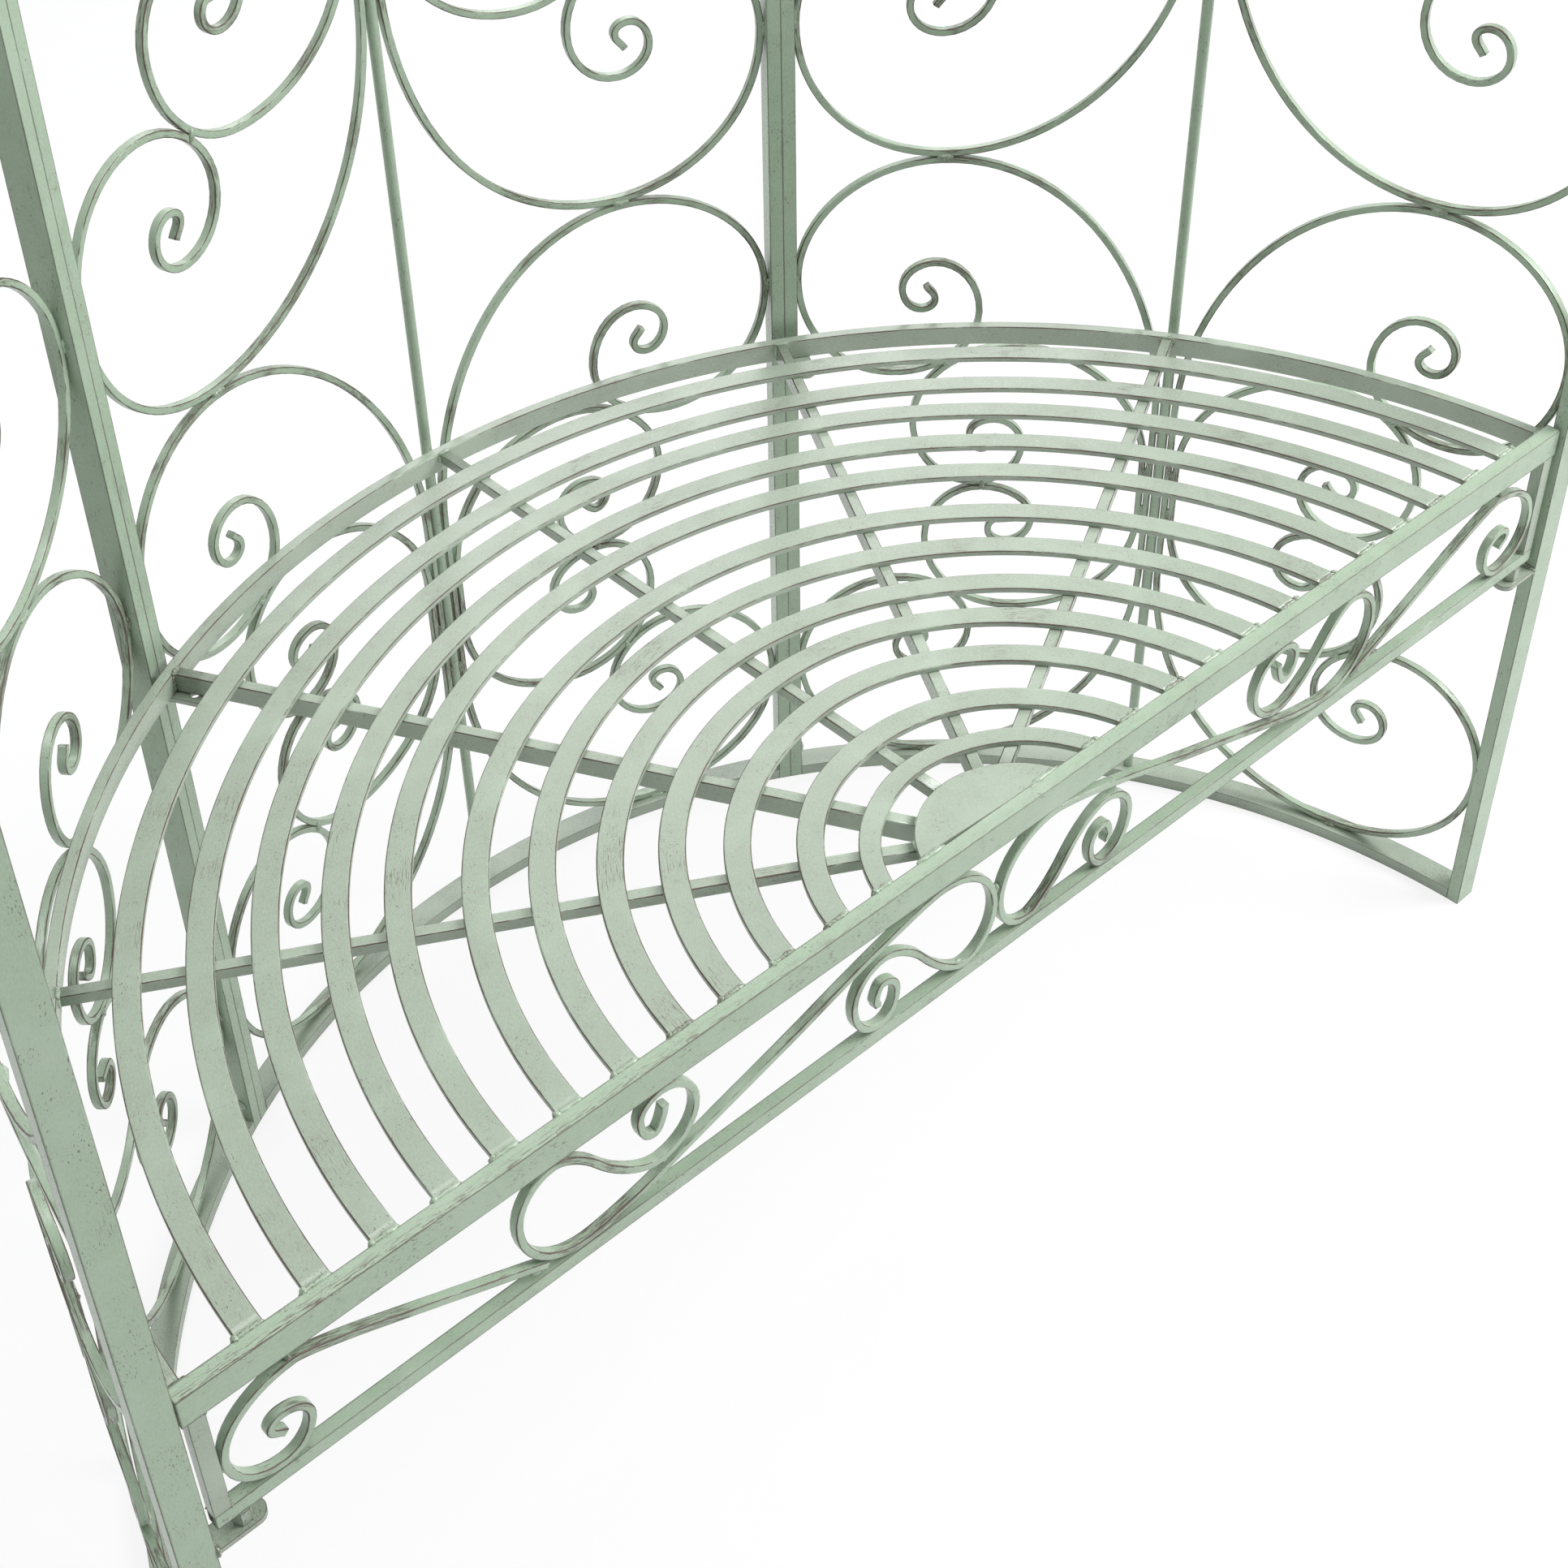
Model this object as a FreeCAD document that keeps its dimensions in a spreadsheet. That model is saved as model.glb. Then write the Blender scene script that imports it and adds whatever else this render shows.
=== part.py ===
import FreeCAD, Part
import Sketcher
import math
import os
import re

# Half round garden arbour seat in painted steel.
# It is laid out with +Z up, the floor at Z = 0, the front plane of the two front posts at
# Y = 0 and its back towards +Y. The three curved panels take a little less than a half
# circle, so its centre lies just in front of Y = 0. At the end every piece moves forward
# together, so that the origin is on the floor in the middle of the footprint.

V = FreeCAD.Vector
doc = FreeCAD.newDocument("arbour_seat")

# Driving sizes in millimetres, angles in degrees, as alias, value, meaning.
SIZES = [
    ("post_inner_radius", 559, "circle on which the inner faces of the posts lie"),
    ("post_depth", 20, "upright tube across, measured along the radius"),
    ("post_width", 10, "upright tube across, measured round the circle"),
    ("tube_wall", 1.2, "wall of every tube"),
    ("panel_angle", 59.4, "one curved panel takes this much of the circle"),
    ("rail_height", 10, "bottom and top rail of a panel"),
    ("rod_diameter", 8, "round rod in the middle of a panel"),
    ("scroll_pitch", 577, "height of one row of scrolls"),
    ("strip_thick", 5, "scroll strip, seen from the front"),
    ("strip_depth", 6, "scroll strip, front to back"),
    ("bundle_gap", 0.8, "gap between rod and strips where they run side by side"),
    ("touch_gap", 0.2, "gap left where a curved strip touches something"),
    ("seat_height", 460, "top of the seat slats"),
    ("seat_gap", 2, "room between seat and front post on each side"),
    ("bar_depth", 10, "front bar of the seat, front to back"),
    ("bar_height", 20, "front bar of the seat"),
    ("bar_setback", 3.5, "front bar behind the front plane of the posts"),
    ("slat_thick", 4, "curved seat slats"),
    ("slat_width", 16, "curved seat slats"),
    ("inner_slat_width", 13, "the innermost slat"),
    ("rim_centre", 15, "centre of the rim circle in front of the origin"),
    ("rim_gap", 3, "room round the seat rim, its radius to that of the posts"),
    ("rim_thick", 8, "seat rim bar"),
    ("rim_height", 15, "seat rim bar"),
    ("spoke_width", 8, "bars under the slats"),
    ("spoke_low_height", 8, "light bars under the slats"),
    ("spoke_tall_height", 14, "tall bars under the slats, towards the back posts"),
    ("spoke_lap", 5.5, "how far the bars reach under the centre plate"),
    ("plate_radius", 61.5, "plate in the middle of the seat"),
    ("plate_centre", 12, "centre of its circle in front of the origin"),
    ("plate_slit", 0.4, "slit between front bar and centre plate, halfway"),
    ("plate_turn", 1.9, "the plate sits askew, the slit wider on the left and shut on the right"),
    ("apron_drop", 80, "clear height between front bar and apron rail"),
    ("apron_rail_depth", 8, "apron rail, front to back"),
    ("apron_rail_height", 10, "apron rail"),
    ("apron_inset", 3, "apron end bar in from the end of the front bar"),
    ("apron_bar_width", 10, "apron end bar"),
    ("tab_thick", 3.5, "tabs welded to the posts"),
    ("tab_width", 15, "tabs welded to the posts"),
    ("front_tab_length", 33, "tabs under the ends of the apron"),
    ("front_tab_hole", 20, "centre of their bolt hole from the post"),
    ("back_tab_length", 40, "tabs under the seat rim"),
    ("back_tab_hole", 29, "centre of their bolt hole from the post"),
    ("bolt_diameter", 6, "all bolts"),
    ("bolt_clearance", 0.5, "holes over bolts"),
    ("bolt_head_diameter", 13, "domed bolt head"),
    ("bolt_head_height", 4, "domed bolt head"),
    ("nut_flats", 10, "nut across flats"),
    ("nut_height", 6, "nut"),
    ("tall_nut_height", 10, "tall nut that stands between front tab and apron rail"),
    ("thread_gap", 0.1, "gap between thread and nut on each side"),
    ("post_bolt_low", 25, "lower bolt through a pair of uprights"),
    ("post_bolt_drop", 35, "upper bolt below the top of the uprights"),
    ("plug_height", 12, "plugs in the feet of the uprights"),
    ("plug_gap", 0.1, "gap round a plug on each side"),
    ("roof_rise", 410, "height of the roof above the uprights"),
    ("roof_bar_width", 10, "roof bars, across"),
    ("roof_bar_depth", 20, "roof bars, measured up and down at the top"),
    ("finial_ball", 30, "ball on top of the roof"),
    ("finial_neck", 14, "neck under the ball"),
    ("finial_neck_height", 12, "neck under the ball"),
]
# Rows of scrolls in a panel, and the seat slats from the outside in, each as its outer
# radius and how far in front of the origin the centre of its circle lies.
SCROLL_ROWS = 3
SLATS = [(518, 17), (479, 19.5), (438, 10), (400, 11.5), (363, 9), (322.5, 16.5),
         (284, 15), (246.5, 17.5), (209.5, 14.5), (173, 15.5), (133.5, 18.5), (98.5, 19.5)]
# The bars under the seat from right to left, each as the angle it is turned by and the
# point that it is aimed from, across and behind the origin.
SUPPORT_BARS = [(28.3, 0, 17.6), (60.5, 0, 0.6), (90, -3, 0), (119.9, 0, -15), (150.1, 0, 0)]

sheet = doc.addObject("Spreadsheet::Sheet", "Sizes")
rows = list(SIZES)
for number, (radius, forward) in enumerate(SLATS, 1):
    rows.append(("slat_radius_%02d" % number, radius, "outer radius of slat %d" % number))
    rows.append(("slat_centre_%02d" % number, forward, "centre of slat %d" % number))
for number, (turn, across, back) in enumerate(SUPPORT_BARS, 1):
    rows.append(("spoke_%d_turn" % number, turn, "degrees that support bar %d is turned by" % number))
    rows.append(("spoke_%d_across" % number, across, "aim of support bar %d to the right" % number))
    rows.append(("spoke_%d_back" % number, back, "aim of support bar %d to the back" % number))
for row, (alias, value, meaning) in enumerate(rows, 1):
    sheet.set("A%d" % row, meaning)
    sheet.set("B%d" % row, str(value))
    sheet.setAlias("B%d" % row, alias)
doc.recompute()


def size(alias):
    return float(sheet.get(alias))


# Sizes that follow from the driving ones.
postOuterRadius = size("post_inner_radius") + size("post_depth")
panelRadius = size("post_inner_radius") + size("post_depth") / 2
railHeight = size("rail_height")
pitch = size("scroll_pitch")
postHeight = 2 * railHeight + SCROLL_ROWS * pitch
stripThick = size("strip_thick")
touchGap = size("touch_gap")
seatTop = size("seat_height")
panelAngle = size("panel_angle")
frontAngle = 90 - 1.5 * panelAngle
circleCentre = panelRadius * math.sin(math.radians(frontAngle))
frontPostFace = (size("post_inner_radius") * math.cos(math.radians(frontAngle))
                 - size("post_width") * math.sin(math.radians(frontAngle)))
barLength = 2 * (size("post_inner_radius") - size("seat_gap"))
barBack = size("bar_setback") + size("bar_depth")
barBottom = seatTop - size("bar_height")
spokeTop = seatTop - size("slat_thick")
rimBottom = spokeTop - size("rim_height")
apronRailTop = barBottom - size("apron_drop")
apronRailBottom = apronRailTop - size("apron_rail_height")
frontTabTop = apronRailBottom - size("tall_nut_height")
holeRadius = (size("bolt_diameter") + size("bolt_clearance")) / 2
halfPanel = math.radians(panelAngle / 2)

nodes = {}


def bind(thing, **cells):
    """Tie properties to the sheet, given as property=expression with bare aliases."""
    aliases = {row[0] for row in rows}
    for prop, text in cells.items():
        text = re.sub(r"[a-z_0-9]+", lambda w: "Sizes." * (w[0] in aliases) + w[0], text)
        thing.setExpression(prop, text)
    return thing


def at(x=0.0, y=0.0, z=0.0):
    return FreeCAD.Placement(V(x, y, z), FreeCAD.Rotation())


def onCircle(angle, outward=0.0, along=0.0, z=0.0):
    """A place in a frame turned to this angle about the centre of the post circle."""
    spin = FreeCAD.Rotation(V(0, 0, 1), angle)
    return FreeCAD.Placement(V(0, -circleCentre, 0) + spin.multVec(V(outward, along, z)), spin)


def box(name, length, width, height, place):
    thing = doc.addObject("Part::Box", name)
    bind(thing, Length=length, Width=width, Height=height)
    thing.Placement = place
    return thing


def cylinder(name, radius, height, place, angle=None):
    thing = doc.addObject("Part::Cylinder", name)
    bind(thing, Radius=radius, Height=height)
    if angle:
        bind(thing, Angle=angle)
    thing.Placement = place
    return thing


def boolean(kind, name, base, tool):
    thing = doc.addObject("Part::" + kind, name)
    thing.Base = base
    thing.Tool = tool
    return thing


def fromShape(name, shape, place=None):
    """A piece whose shape is worked out below, from the sheet's own sizes."""
    thing = doc.addObject("Part::Feature", name)
    thing.Shape = shape
    if place:
        thing.Placement = place
    return thing


def piece(node, thing):
    thing.Label = node
    nodes[node] = thing
    return thing


def group(node, things):
    """Like pieces that share one node, kept as separate solids."""
    thing = doc.addObject("Part::Compound", node)
    thing.Links = things
    return piece(node, thing)


# Fasteners: domed bolt along +Z with the head under Z = 0, and a hexagon nut.

def boltShape(length):
    """Domed head, a cap of a sphere, on a plain shank."""
    headRadius = size("bolt_head_diameter") / 2
    headHeight = size("bolt_head_height")
    ballRadius = (headRadius ** 2 + headHeight ** 2) / (2 * headHeight)
    ball = Part.makeSphere(ballRadius, V(0, 0, ballRadius - headHeight))
    below = Part.makeBox(4 * ballRadius, 4 * ballRadius, headHeight,
                         V(-2 * ballRadius, -2 * ballRadius, -headHeight))
    shank = Part.makeCylinder(size("bolt_diameter") / 2, length)
    return ball.common(below).fuse(shank)


def nutShape(height):
    """Hexagon with its bore, standing on Z = 0."""
    corner = size("nut_flats") / 2 / math.cos(math.radians(30))
    corners = [V(corner * math.cos(math.radians(a)), corner * math.sin(math.radians(a)), 0)
               for a in range(0, 361, 60)]
    block = Part.Face(Part.makePolygon(corners)).extrude(V(0, 0, height))
    bore = Part.makeCylinder(size("bolt_diameter") / 2 + size("thread_gap"), height)
    return block.cut(bore)


def seamAngle(number):
    """Where a panel ends: 0 and 3 at the front posts, 1 and 2 at the back posts."""
    return frontAngle + number * panelAngle


def alongTangent(angle, radius, offset, z):
    """Z axis along the tangent of the post circle at this angle, towards larger angles."""
    turn = FreeCAD.Rotation(V(0, 0, 1), angle).multiply(FreeCAD.Rotation(V(1, 0, 0), -90))
    spot = onCircle(angle, radius, offset, z).Base
    return FreeCAD.Placement(spot, turn)


# Curved panels: two uprights, bottom and top rail, middle rod and scrolls.

def upright(name, angle, side, bolted):
    """Tube with one face on the radial plane at this angle, on the given side of it."""
    offset = 0 if side > 0 else -size("post_width")
    wall = size("tube_wall")
    outer = box(name + "_outside", "post_depth", "post_width", "2 * rail_height + %d * scroll_pitch"
                % SCROLL_ROWS, onCircle(angle, size("post_inner_radius"), offset))
    inner = box(name + "_inside", "post_depth - 2 * tube_wall", "post_width - 2 * tube_wall",
                "2 * rail_height + %d * scroll_pitch" % SCROLL_ROWS,
                onCircle(angle, size("post_inner_radius") + wall, offset + wall))
    tube = boolean("Cut", name + "_tube", outer, inner)
    if not bolted:
        return tube
    for level, z in (("low", size("post_bolt_low")), ("high", postHeight - size("post_bolt_drop"))):
        drill = cylinder(name + "_drill_" + level, "(bolt_diameter + bolt_clearance) / 2",
                         "4 * post_width", alongTangent(angle, panelRadius,
                                                        -2 * size("post_width"), z))
        tube = boolean("Cut", name + "_drilled_" + level, tube, drill)
    return tube


def curvedRail(name, start, z):
    """Flat tube bent to the circle, cut square where it meets the two uprights."""
    place = onCircle(start, 0, 0, z)
    raised = onCircle(start, 0, 0, z + size("tube_wall"))
    outer = cylinder(name + "_outer", "post_inner_radius + post_depth", "rail_height", place,
                     "panel_angle")
    inner = cylinder(name + "_inner", "post_inner_radius", "rail_height", place)
    bar = boolean("Cut", name + "_bar", outer, inner)
    hollowOuter = cylinder(name + "_hollow_outer", "post_inner_radius + post_depth - tube_wall",
                           "rail_height - 2 * tube_wall", raised, "panel_angle")
    hollowInner = cylinder(name + "_hollow_inner", "post_inner_radius + tube_wall",
                           "rail_height - 2 * tube_wall", raised)
    hollow = boolean("Cut", name + "_hollow", hollowOuter, hollowInner)
    rail = boolean("Cut", name + "_tube", bar, hollow)
    for end, angle, offset in (("start", start, 0),
                               ("end", start + panelAngle, -size("post_width"))):
        corner = box(name + "_" + end, "2 * post_depth", "post_width", "rail_height",
                     onCircle(angle, size("post_inner_radius") - size("post_depth") / 2, offset, z))
        rail = boolean("Cut", name + "_to_" + end, rail, corner)
    return rail


# Scroll paths. A path is a list of (across, up, heading in degrees); between two entries
# it runs on one curve that leaves and arrives along the headings, a quarter of an ellipse
# where the headings are square to each other.

def pathPoints(way, steps=6):
    """Points along a path, as pairs, from cubic curves between the entries."""
    points = [way[0][:2]]
    for (ax, ay, ah), (bx, by, bh) in zip(way, way[1:]):
        ux, uy = math.cos(math.radians(ah)), math.sin(math.radians(ah))
        wx, wy = math.cos(math.radians(bh)), math.sin(math.radians(bh))
        chord = math.hypot(bx - ax, by - ay)
        cross = ux * wy - uy * wx
        reachA = reachB = 0.4 * chord
        if abs(cross) > 0.05:
            toCornerA = ((bx - ax) * wy - (by - ay) * wx) / cross
            toCornerB = ((bx - ax) * uy - (by - ay) * ux) / -cross
            if toCornerA > 0 and toCornerB > 0:
                reachA = 0.5523 * toCornerA
                reachB = 0.5523 * toCornerB
        for k in range(1, steps + 1):
            t = k / steps
            c0, c1, c2, c3 = (1 - t) ** 3, 3 * t * (1 - t) ** 2, 3 * t * t * (1 - t), t ** 3
            points.append((c0 * ax + c1 * (ax + reachA * ux) + c2 * (bx - reachB * wx) + c3 * bx,
                           c0 * ay + c1 * (ay + reachA * uy) + c2 * (by - reachB * wy) + c3 * by))
    return points


def stripEdges(points, thick):
    """The two sides of a strip, half its thickness to each side of its middle line."""
    sides = ([], [])
    last = len(points) - 1
    for i, (x, y) in enumerate(points):
        ahead, behind = points[min(i + 1, last)], points[max(i - 1, 0)]
        dx, dy = ahead[0] - behind[0], ahead[1] - behind[1]
        length = math.hypot(dx, dy)
        nx, ny = -dy / length * thick / 2, dx / length * thick / 2
        sides[0].append((x + nx, y + ny))
        sides[1].append((x - nx, y - ny))
    return sides


def splineEdge(points, stations):
    curve = Part.BSplineCurve()
    curve.interpolate(Points=points, Parameters=stations)
    return curve.toShape()


def stripSolid(points, thick, near, far, toSpace):
    """A strip bent along points: four long edges carried to space, joined by ruled faces."""
    stations = [0.0]
    for a, b in zip(points, points[1:]):
        stations.append(stations[-1] + math.hypot(b[0] - a[0], b[1] - a[1]))
    sides = stripEdges(points, thick)
    edges = [splineEdge([toSpace(x, y, depth) for x, y in sides[side]], stations)
             for side, depth in ((0, near), (0, far), (1, far), (1, near))]
    faces = [Part.makeRuledSurface(edges[i], edges[(i + 1) % 4]) for i in range(4)]
    for end in (0, -1):
        corners = [toSpace(*sides[side][end], depth)
                   for side, depth in ((0, near), (0, far), (1, far), (1, near))]
        faces.append(Part.makeRuledSurface(Part.makeLine(corners[0], corners[1]),
                                           Part.makeLine(corners[3], corners[2])))
    shell = Part.makeShell(faces)
    shell.sewShape()
    solid = Part.makeSolid(shell)
    if solid.Volume < 0:
        solid.reverse()
    return solid


# Panel scrolls, measured from the middle rod (across) and from the waist of a row (up).
# Each is a C whose two ends curl in; the strips run side by side with the rod at the waist.
rodRadius = size("rod_diameter") / 2
outerLane = rodRadius + size("bundle_gap") + stripThick / 2
innerLane = outerLane + stripThick + size("bundle_gap")
postSide = panelRadius * halfPanel - size("post_width") - stripThick / 2 - touchGap
rowEdge = pitch / 2 - stripThick / 2 - touchGap / 2
# They are drawn for this distance to the upright and to the end of the row, and stretched.
DRAWN_SIDE, DRAWN_EDGE = 282.25, 285.9
OUTER_UP = [(outerLane, 0, 90), (outerLane, 73, 90), (176, DRAWN_EDGE, 0), (DRAWN_SIDE, 196, 270),
            (203, 104.5, 180), (144.5, 156.5, 90), (179, 200, 0), (203, 179, 270), (188, 160, 180),
            (178, 168, 90), (185, 180, 60)]
OUTER_DOWN = [(outerLane, 0, 270), (outerLane, -73, 270), (172, -DRAWN_EDGE, 0),
              (DRAWN_SIDE, -176, 90), (203, -98, 180), (142, -152, 270), (178, -192, 0),
              (202, -171, 90), (187, -153, 180), (177, -160, 270), (184, -172, 300)]
INNER_UP = [(innerLane, 0, 90), (innerLane, 25, 90), (119, 124.7, 0), (192.7, 60, 270),
            (143, -1.7, 180), (107, 34, 90), (129, 58, 0), (148, 44, 270), (138, 30, 180),
            (126, 41, 120)]
INNER_DOWN = [(innerLane, 0, 270), (innerLane, -25, 270), (113, -126.8, 0), (180.7, -55, 90),
              (137, -6.7, 180), (96, -36, 270), (117, -61, 0), (130, -49, 90), (123, -39, 180),
              (110, -38, 180)]


def scrolls(name, middle, up, down):
    """All scrolls of one kind in a panel whose rod stands at this angle."""
    drawn = pathPoints(down)[::-1] + pathPoints(up)[1:]
    lane = up[0][0]
    widen = (postSide - lane) / (DRAWN_SIDE - lane)
    path = [(lane + (x - lane) * widen, y * rowEdge / DRAWN_EDGE) for x, y in drawn]
    near = panelRadius - size("strip_depth") / 2
    far = panelRadius + size("strip_depth") / 2
    turn = math.radians(middle)

    def toCylinder(across, z, radius):
        angle = turn - across / panelRadius
        return V(radius * math.cos(angle), radius * math.sin(angle) - circleCentre, z)

    solids = []
    for row in range(SCROLL_ROWS):
        waist = railHeight + (row + 0.5) * pitch
        for hand in (-1, 1):
            points = [(hand * x, y + waist) for x, y in path]
            solids.append(stripSolid(points, stripThick, near, far, toCylinder))
    return fromShape(name, Part.Compound(solids))


PANELS = [("right", 0), ("back", 1), ("left", 2)]
for panel, number in PANELS:
    start = seamAngle(number)
    middle = start + panelAngle / 2
    first = "front" if panel == "right" else "right" if panel == "back" else "back"
    last = "front" if panel == "left" else "left" if panel == "back" else "back"
    piece(panel + "_panel_" + first + "_upright",
          upright(panel + "_a", start, 1, panel != "right"))
    piece(panel + "_panel_" + last + "_upright",
          upright(panel + "_b", start + panelAngle, -1, panel != "left"))
    piece(panel + "_panel_bottom_rail", curvedRail(panel + "_bottom", start, 0))
    piece(panel + "_panel_top_rail",
          curvedRail(panel + "_top", start, postHeight - railHeight))
    rod = cylinder(panel + "_rod", "rod_diameter / 2", "%d * scroll_pitch" % SCROLL_ROWS,
                   onCircle(middle, panelRadius, 0, railHeight))
    piece(panel + "_panel_middle_rod", rod)
    piece(panel + "_panel_outer_scrolls", scrolls(panel + "_outer", middle, OUTER_UP, OUTER_DOWN))
    piece(panel + "_panel_inner_scrolls", scrolls(panel + "_inner", middle, INNER_UP, INNER_DOWN))

# Plugs in the feet, flush with the floor, one for each upright.
plugs = []
for number in range(3):
    for angle, side in ((seamAngle(number), 1), (seamAngle(number + 1), -1)):
        inset = size("tube_wall") + size("plug_gap")
        offset = inset if side > 0 else inset - size("post_width")
        plugs.append(box("plug_%d" % len(plugs), "post_depth - 2 * (tube_wall + plug_gap)",
                         "post_width - 2 * (tube_wall + plug_gap)", "plug_height",
                         onCircle(angle, size("post_inner_radius") + inset, offset)))
group("foot_plugs", plugs)

# Bolts and nuts that hold neighbouring panels together, heads on the end panels' side.
bolts, nuts = [], []
for angle, way in ((seamAngle(1), 1), (seamAngle(2), -1)):
    for z in (size("post_bolt_low"), postHeight - size("post_bolt_drop")):
        along = alongTangent(angle, panelRadius, -way * size("post_width"), z)
        if way < 0:
            along.Rotation = along.Rotation.multiply(FreeCAD.Rotation(V(1, 0, 0), 180))
        nutPlace = along.multiply(FreeCAD.Placement(V(0, 0, 2 * size("post_width")),
                                                    FreeCAD.Rotation()))
        length = 2 * size("post_width") + size("nut_height") + 1
        bolts.append(fromShape("panel_bolt_%d" % len(bolts), boltShape(length), along))
        nuts.append(fromShape("nut_%d" % len(nuts), nutShape(size("nut_height")), nutPlace))
group("panel_bolts", bolts)

# Seat: front bar, rim, curved slats, bars below them and the centre plate.

outside = box("front_bar_outside", "2 * (post_inner_radius - seat_gap)", "bar_depth", "bar_height",
              at(-barLength / 2, size("bar_setback"), barBottom))
inside = box("front_bar_inside", "2 * (post_inner_radius - seat_gap)", "bar_depth - 2 * tube_wall",
             "bar_height - 2 * tube_wall",
             at(-barLength / 2, size("bar_setback") + size("tube_wall"),
                    barBottom + size("tube_wall")))
piece("seat_front_bar", boolean("Cut", "front_bar_tube", outside, inside))


def behindBar(name, base, height, z):
    """What is left of a ring behind the front bar."""
    keep = box(name + "_behind", "4 * post_inner_radius", "2 * post_inner_radius", height,
               at(-2 * size("post_inner_radius"), barBack, z))
    return boolean("Common", name + "_half", base, keep)


def halfRing(name, outer, inner, height, centre, z):
    place = at(0, -centre, z)
    ring = boolean("Cut", name + "_ring", cylinder(name + "_outer", outer, height, place),
                   cylinder(name + "_inner", inner, height, place))
    return behindBar(name, ring, height, z)


rimRadius = "post_inner_radius - rim_gap"
piece("seat_rim", halfRing("rim", rimRadius, rimRadius + " - rim_thick", "rim_height",
                           size("rim_centre"), rimBottom))

for number in range(1, len(SLATS) + 1):
    alias = "slat_radius_%02d" % number
    width = "inner_slat_width" if number == len(SLATS) else "slat_width"
    slat = halfRing("slat_%02d" % number, alias, alias + " - " + width, "slat_thick",
                    size("slat_centre_%02d" % number), spokeTop)
    piece("seat_slat_%02d" % number, slat)

plateLap = "plate_radius - spoke_lap"
for number in range(1, len(SUPPORT_BARS) + 1):
    # the even ones run to the back posts and are tall
    tall = number % 2 == 0
    height = "spoke_tall_height" if tall else "spoke_low_height"
    low = spokeTop - size(height)
    name = "spoke_%d" % number
    turn = FreeCAD.Rotation(V(0, 0, 1), size(name + "_turn"))
    start = V(size(name + "_across"), size(name + "_back"), low)
    bar = box(name + "_bar", "post_inner_radius", "spoke_width", height,
              FreeCAD.Placement(start - turn.multVec(V(0, size("spoke_width") / 2, 0)), turn))
    room = boolean("Cut", name + "_room",
                   cylinder(name + "_room_outside", rimRadius + " - rim_thick", height,
                            at(0, -size("rim_centre"), low)),
                   cylinder(name + "_room_inside", plateLap, height,
                            at(0, -size("plate_centre"), low)))
    piece("seat_support_bar_%d" % number, boolean("Common", name + "_cut", bar, room))

disc = cylinder("plate_disc", "plate_radius", "slat_thick", at(0, -size("plate_centre"), spokeTop))
askew = FreeCAD.Rotation(V(0, 0, 1), -size("plate_turn"))
corner = V(0, barBack + size("plate_slit"), spokeTop) - askew.multVec(V(size("plate_radius"), 0, 0))
keep = box("plate_keep", "2 * plate_radius", "plate_radius", "slat_thick",
           FreeCAD.Placement(corner, askew))
plate = boolean("Common", "plate_askew", disc, keep)
piece("seat_centre_plate", behindBar("plate", plate, "slat_thick", spokeTop))

# Apron under the front bar: rail, end bars and scrolls.

railLength = "2 * (post_inner_radius - seat_gap - apron_inset)"
apronHalf = barLength / 2 - size("apron_inset")
outside = box("apron_rail_outside", railLength, "apron_rail_depth", "apron_rail_height",
              at(-apronHalf, size("bar_setback"), apronRailBottom))
inside = box("apron_rail_inside", railLength, "apron_rail_depth - 2 * tube_wall",
             "apron_rail_height - 2 * tube_wall",
             at(-apronHalf, size("bar_setback") + size("tube_wall"),
                    apronRailBottom + size("tube_wall")))
rail = boolean("Cut", "apron_rail_tube", outside, inside)
seatBoltX = frontPostFace - size("front_tab_hole")
seatBoltY = size("bar_setback") + size("apron_rail_depth") / 2
for side, x in (("left", -seatBoltX), ("right", seatBoltX)):
    drill = cylinder("apron_drill_" + side, "(bolt_diameter + bolt_clearance) / 2",
                     "apron_rail_height / 2", at(x, seatBoltY, apronRailBottom))
    rail = boolean("Cut", "apron_rail_drilled_" + side, rail, drill)
piece("apron_rail", rail)

group("apron_end_bars", [
    box("apron_bar_" + side, "apron_bar_width", "apron_rail_depth", "apron_drop",
        at(x, size("bar_setback"), apronRailTop))
    for side, x in (("left", -apronHalf), ("right", apronHalf - size("apron_bar_width")))])

# Apron scrolls: across from the middle of the seat, and down from the front bar, drawn for
# this clear length to each side and this drop, and stretched.
DRAWN_LENGTH, DRAWN_DROP = 544, 80
apronTop = stripThick / 2 + touchGap / 2
apronLow = DRAWN_DROP - apronTop
apronWiden = (apronHalf - size("apron_bar_width")) / DRAWN_LENGTH
APRON_CORNER = [(344, 74, 25), (447, 26, 25), (494, 8, 0), (541, 46, -90), (512, apronLow, 180),
                (492, 55, 90), (507, 41, 0), (515, 47, -90), (507.5, 55.6, -130)]
APRON_WAVE = [(258.4, 15.6, -80), (266, 32, -10), (276, 16, 90), (260, apronTop, 180),
              (237, 28, 270), (265, 56, 0), (306, 23.7, 56), (333, apronTop, 0), (359, 33, 270),
              (317, apronLow, 180), (260, 65.5, 161), (140, 27.3, 161), (48, apronTop, 180),
              (apronTop, 46, 270), (28, apronLow, 0), (62, 47.6, 56), (94, 24.2, 0),
              (118, 49, 270), (97, apronLow, 180), (83.5, 57.5, 90), (95, 44.8, 0),
              (100.4, 54.6, 280), (99, 61, 285)]


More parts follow.
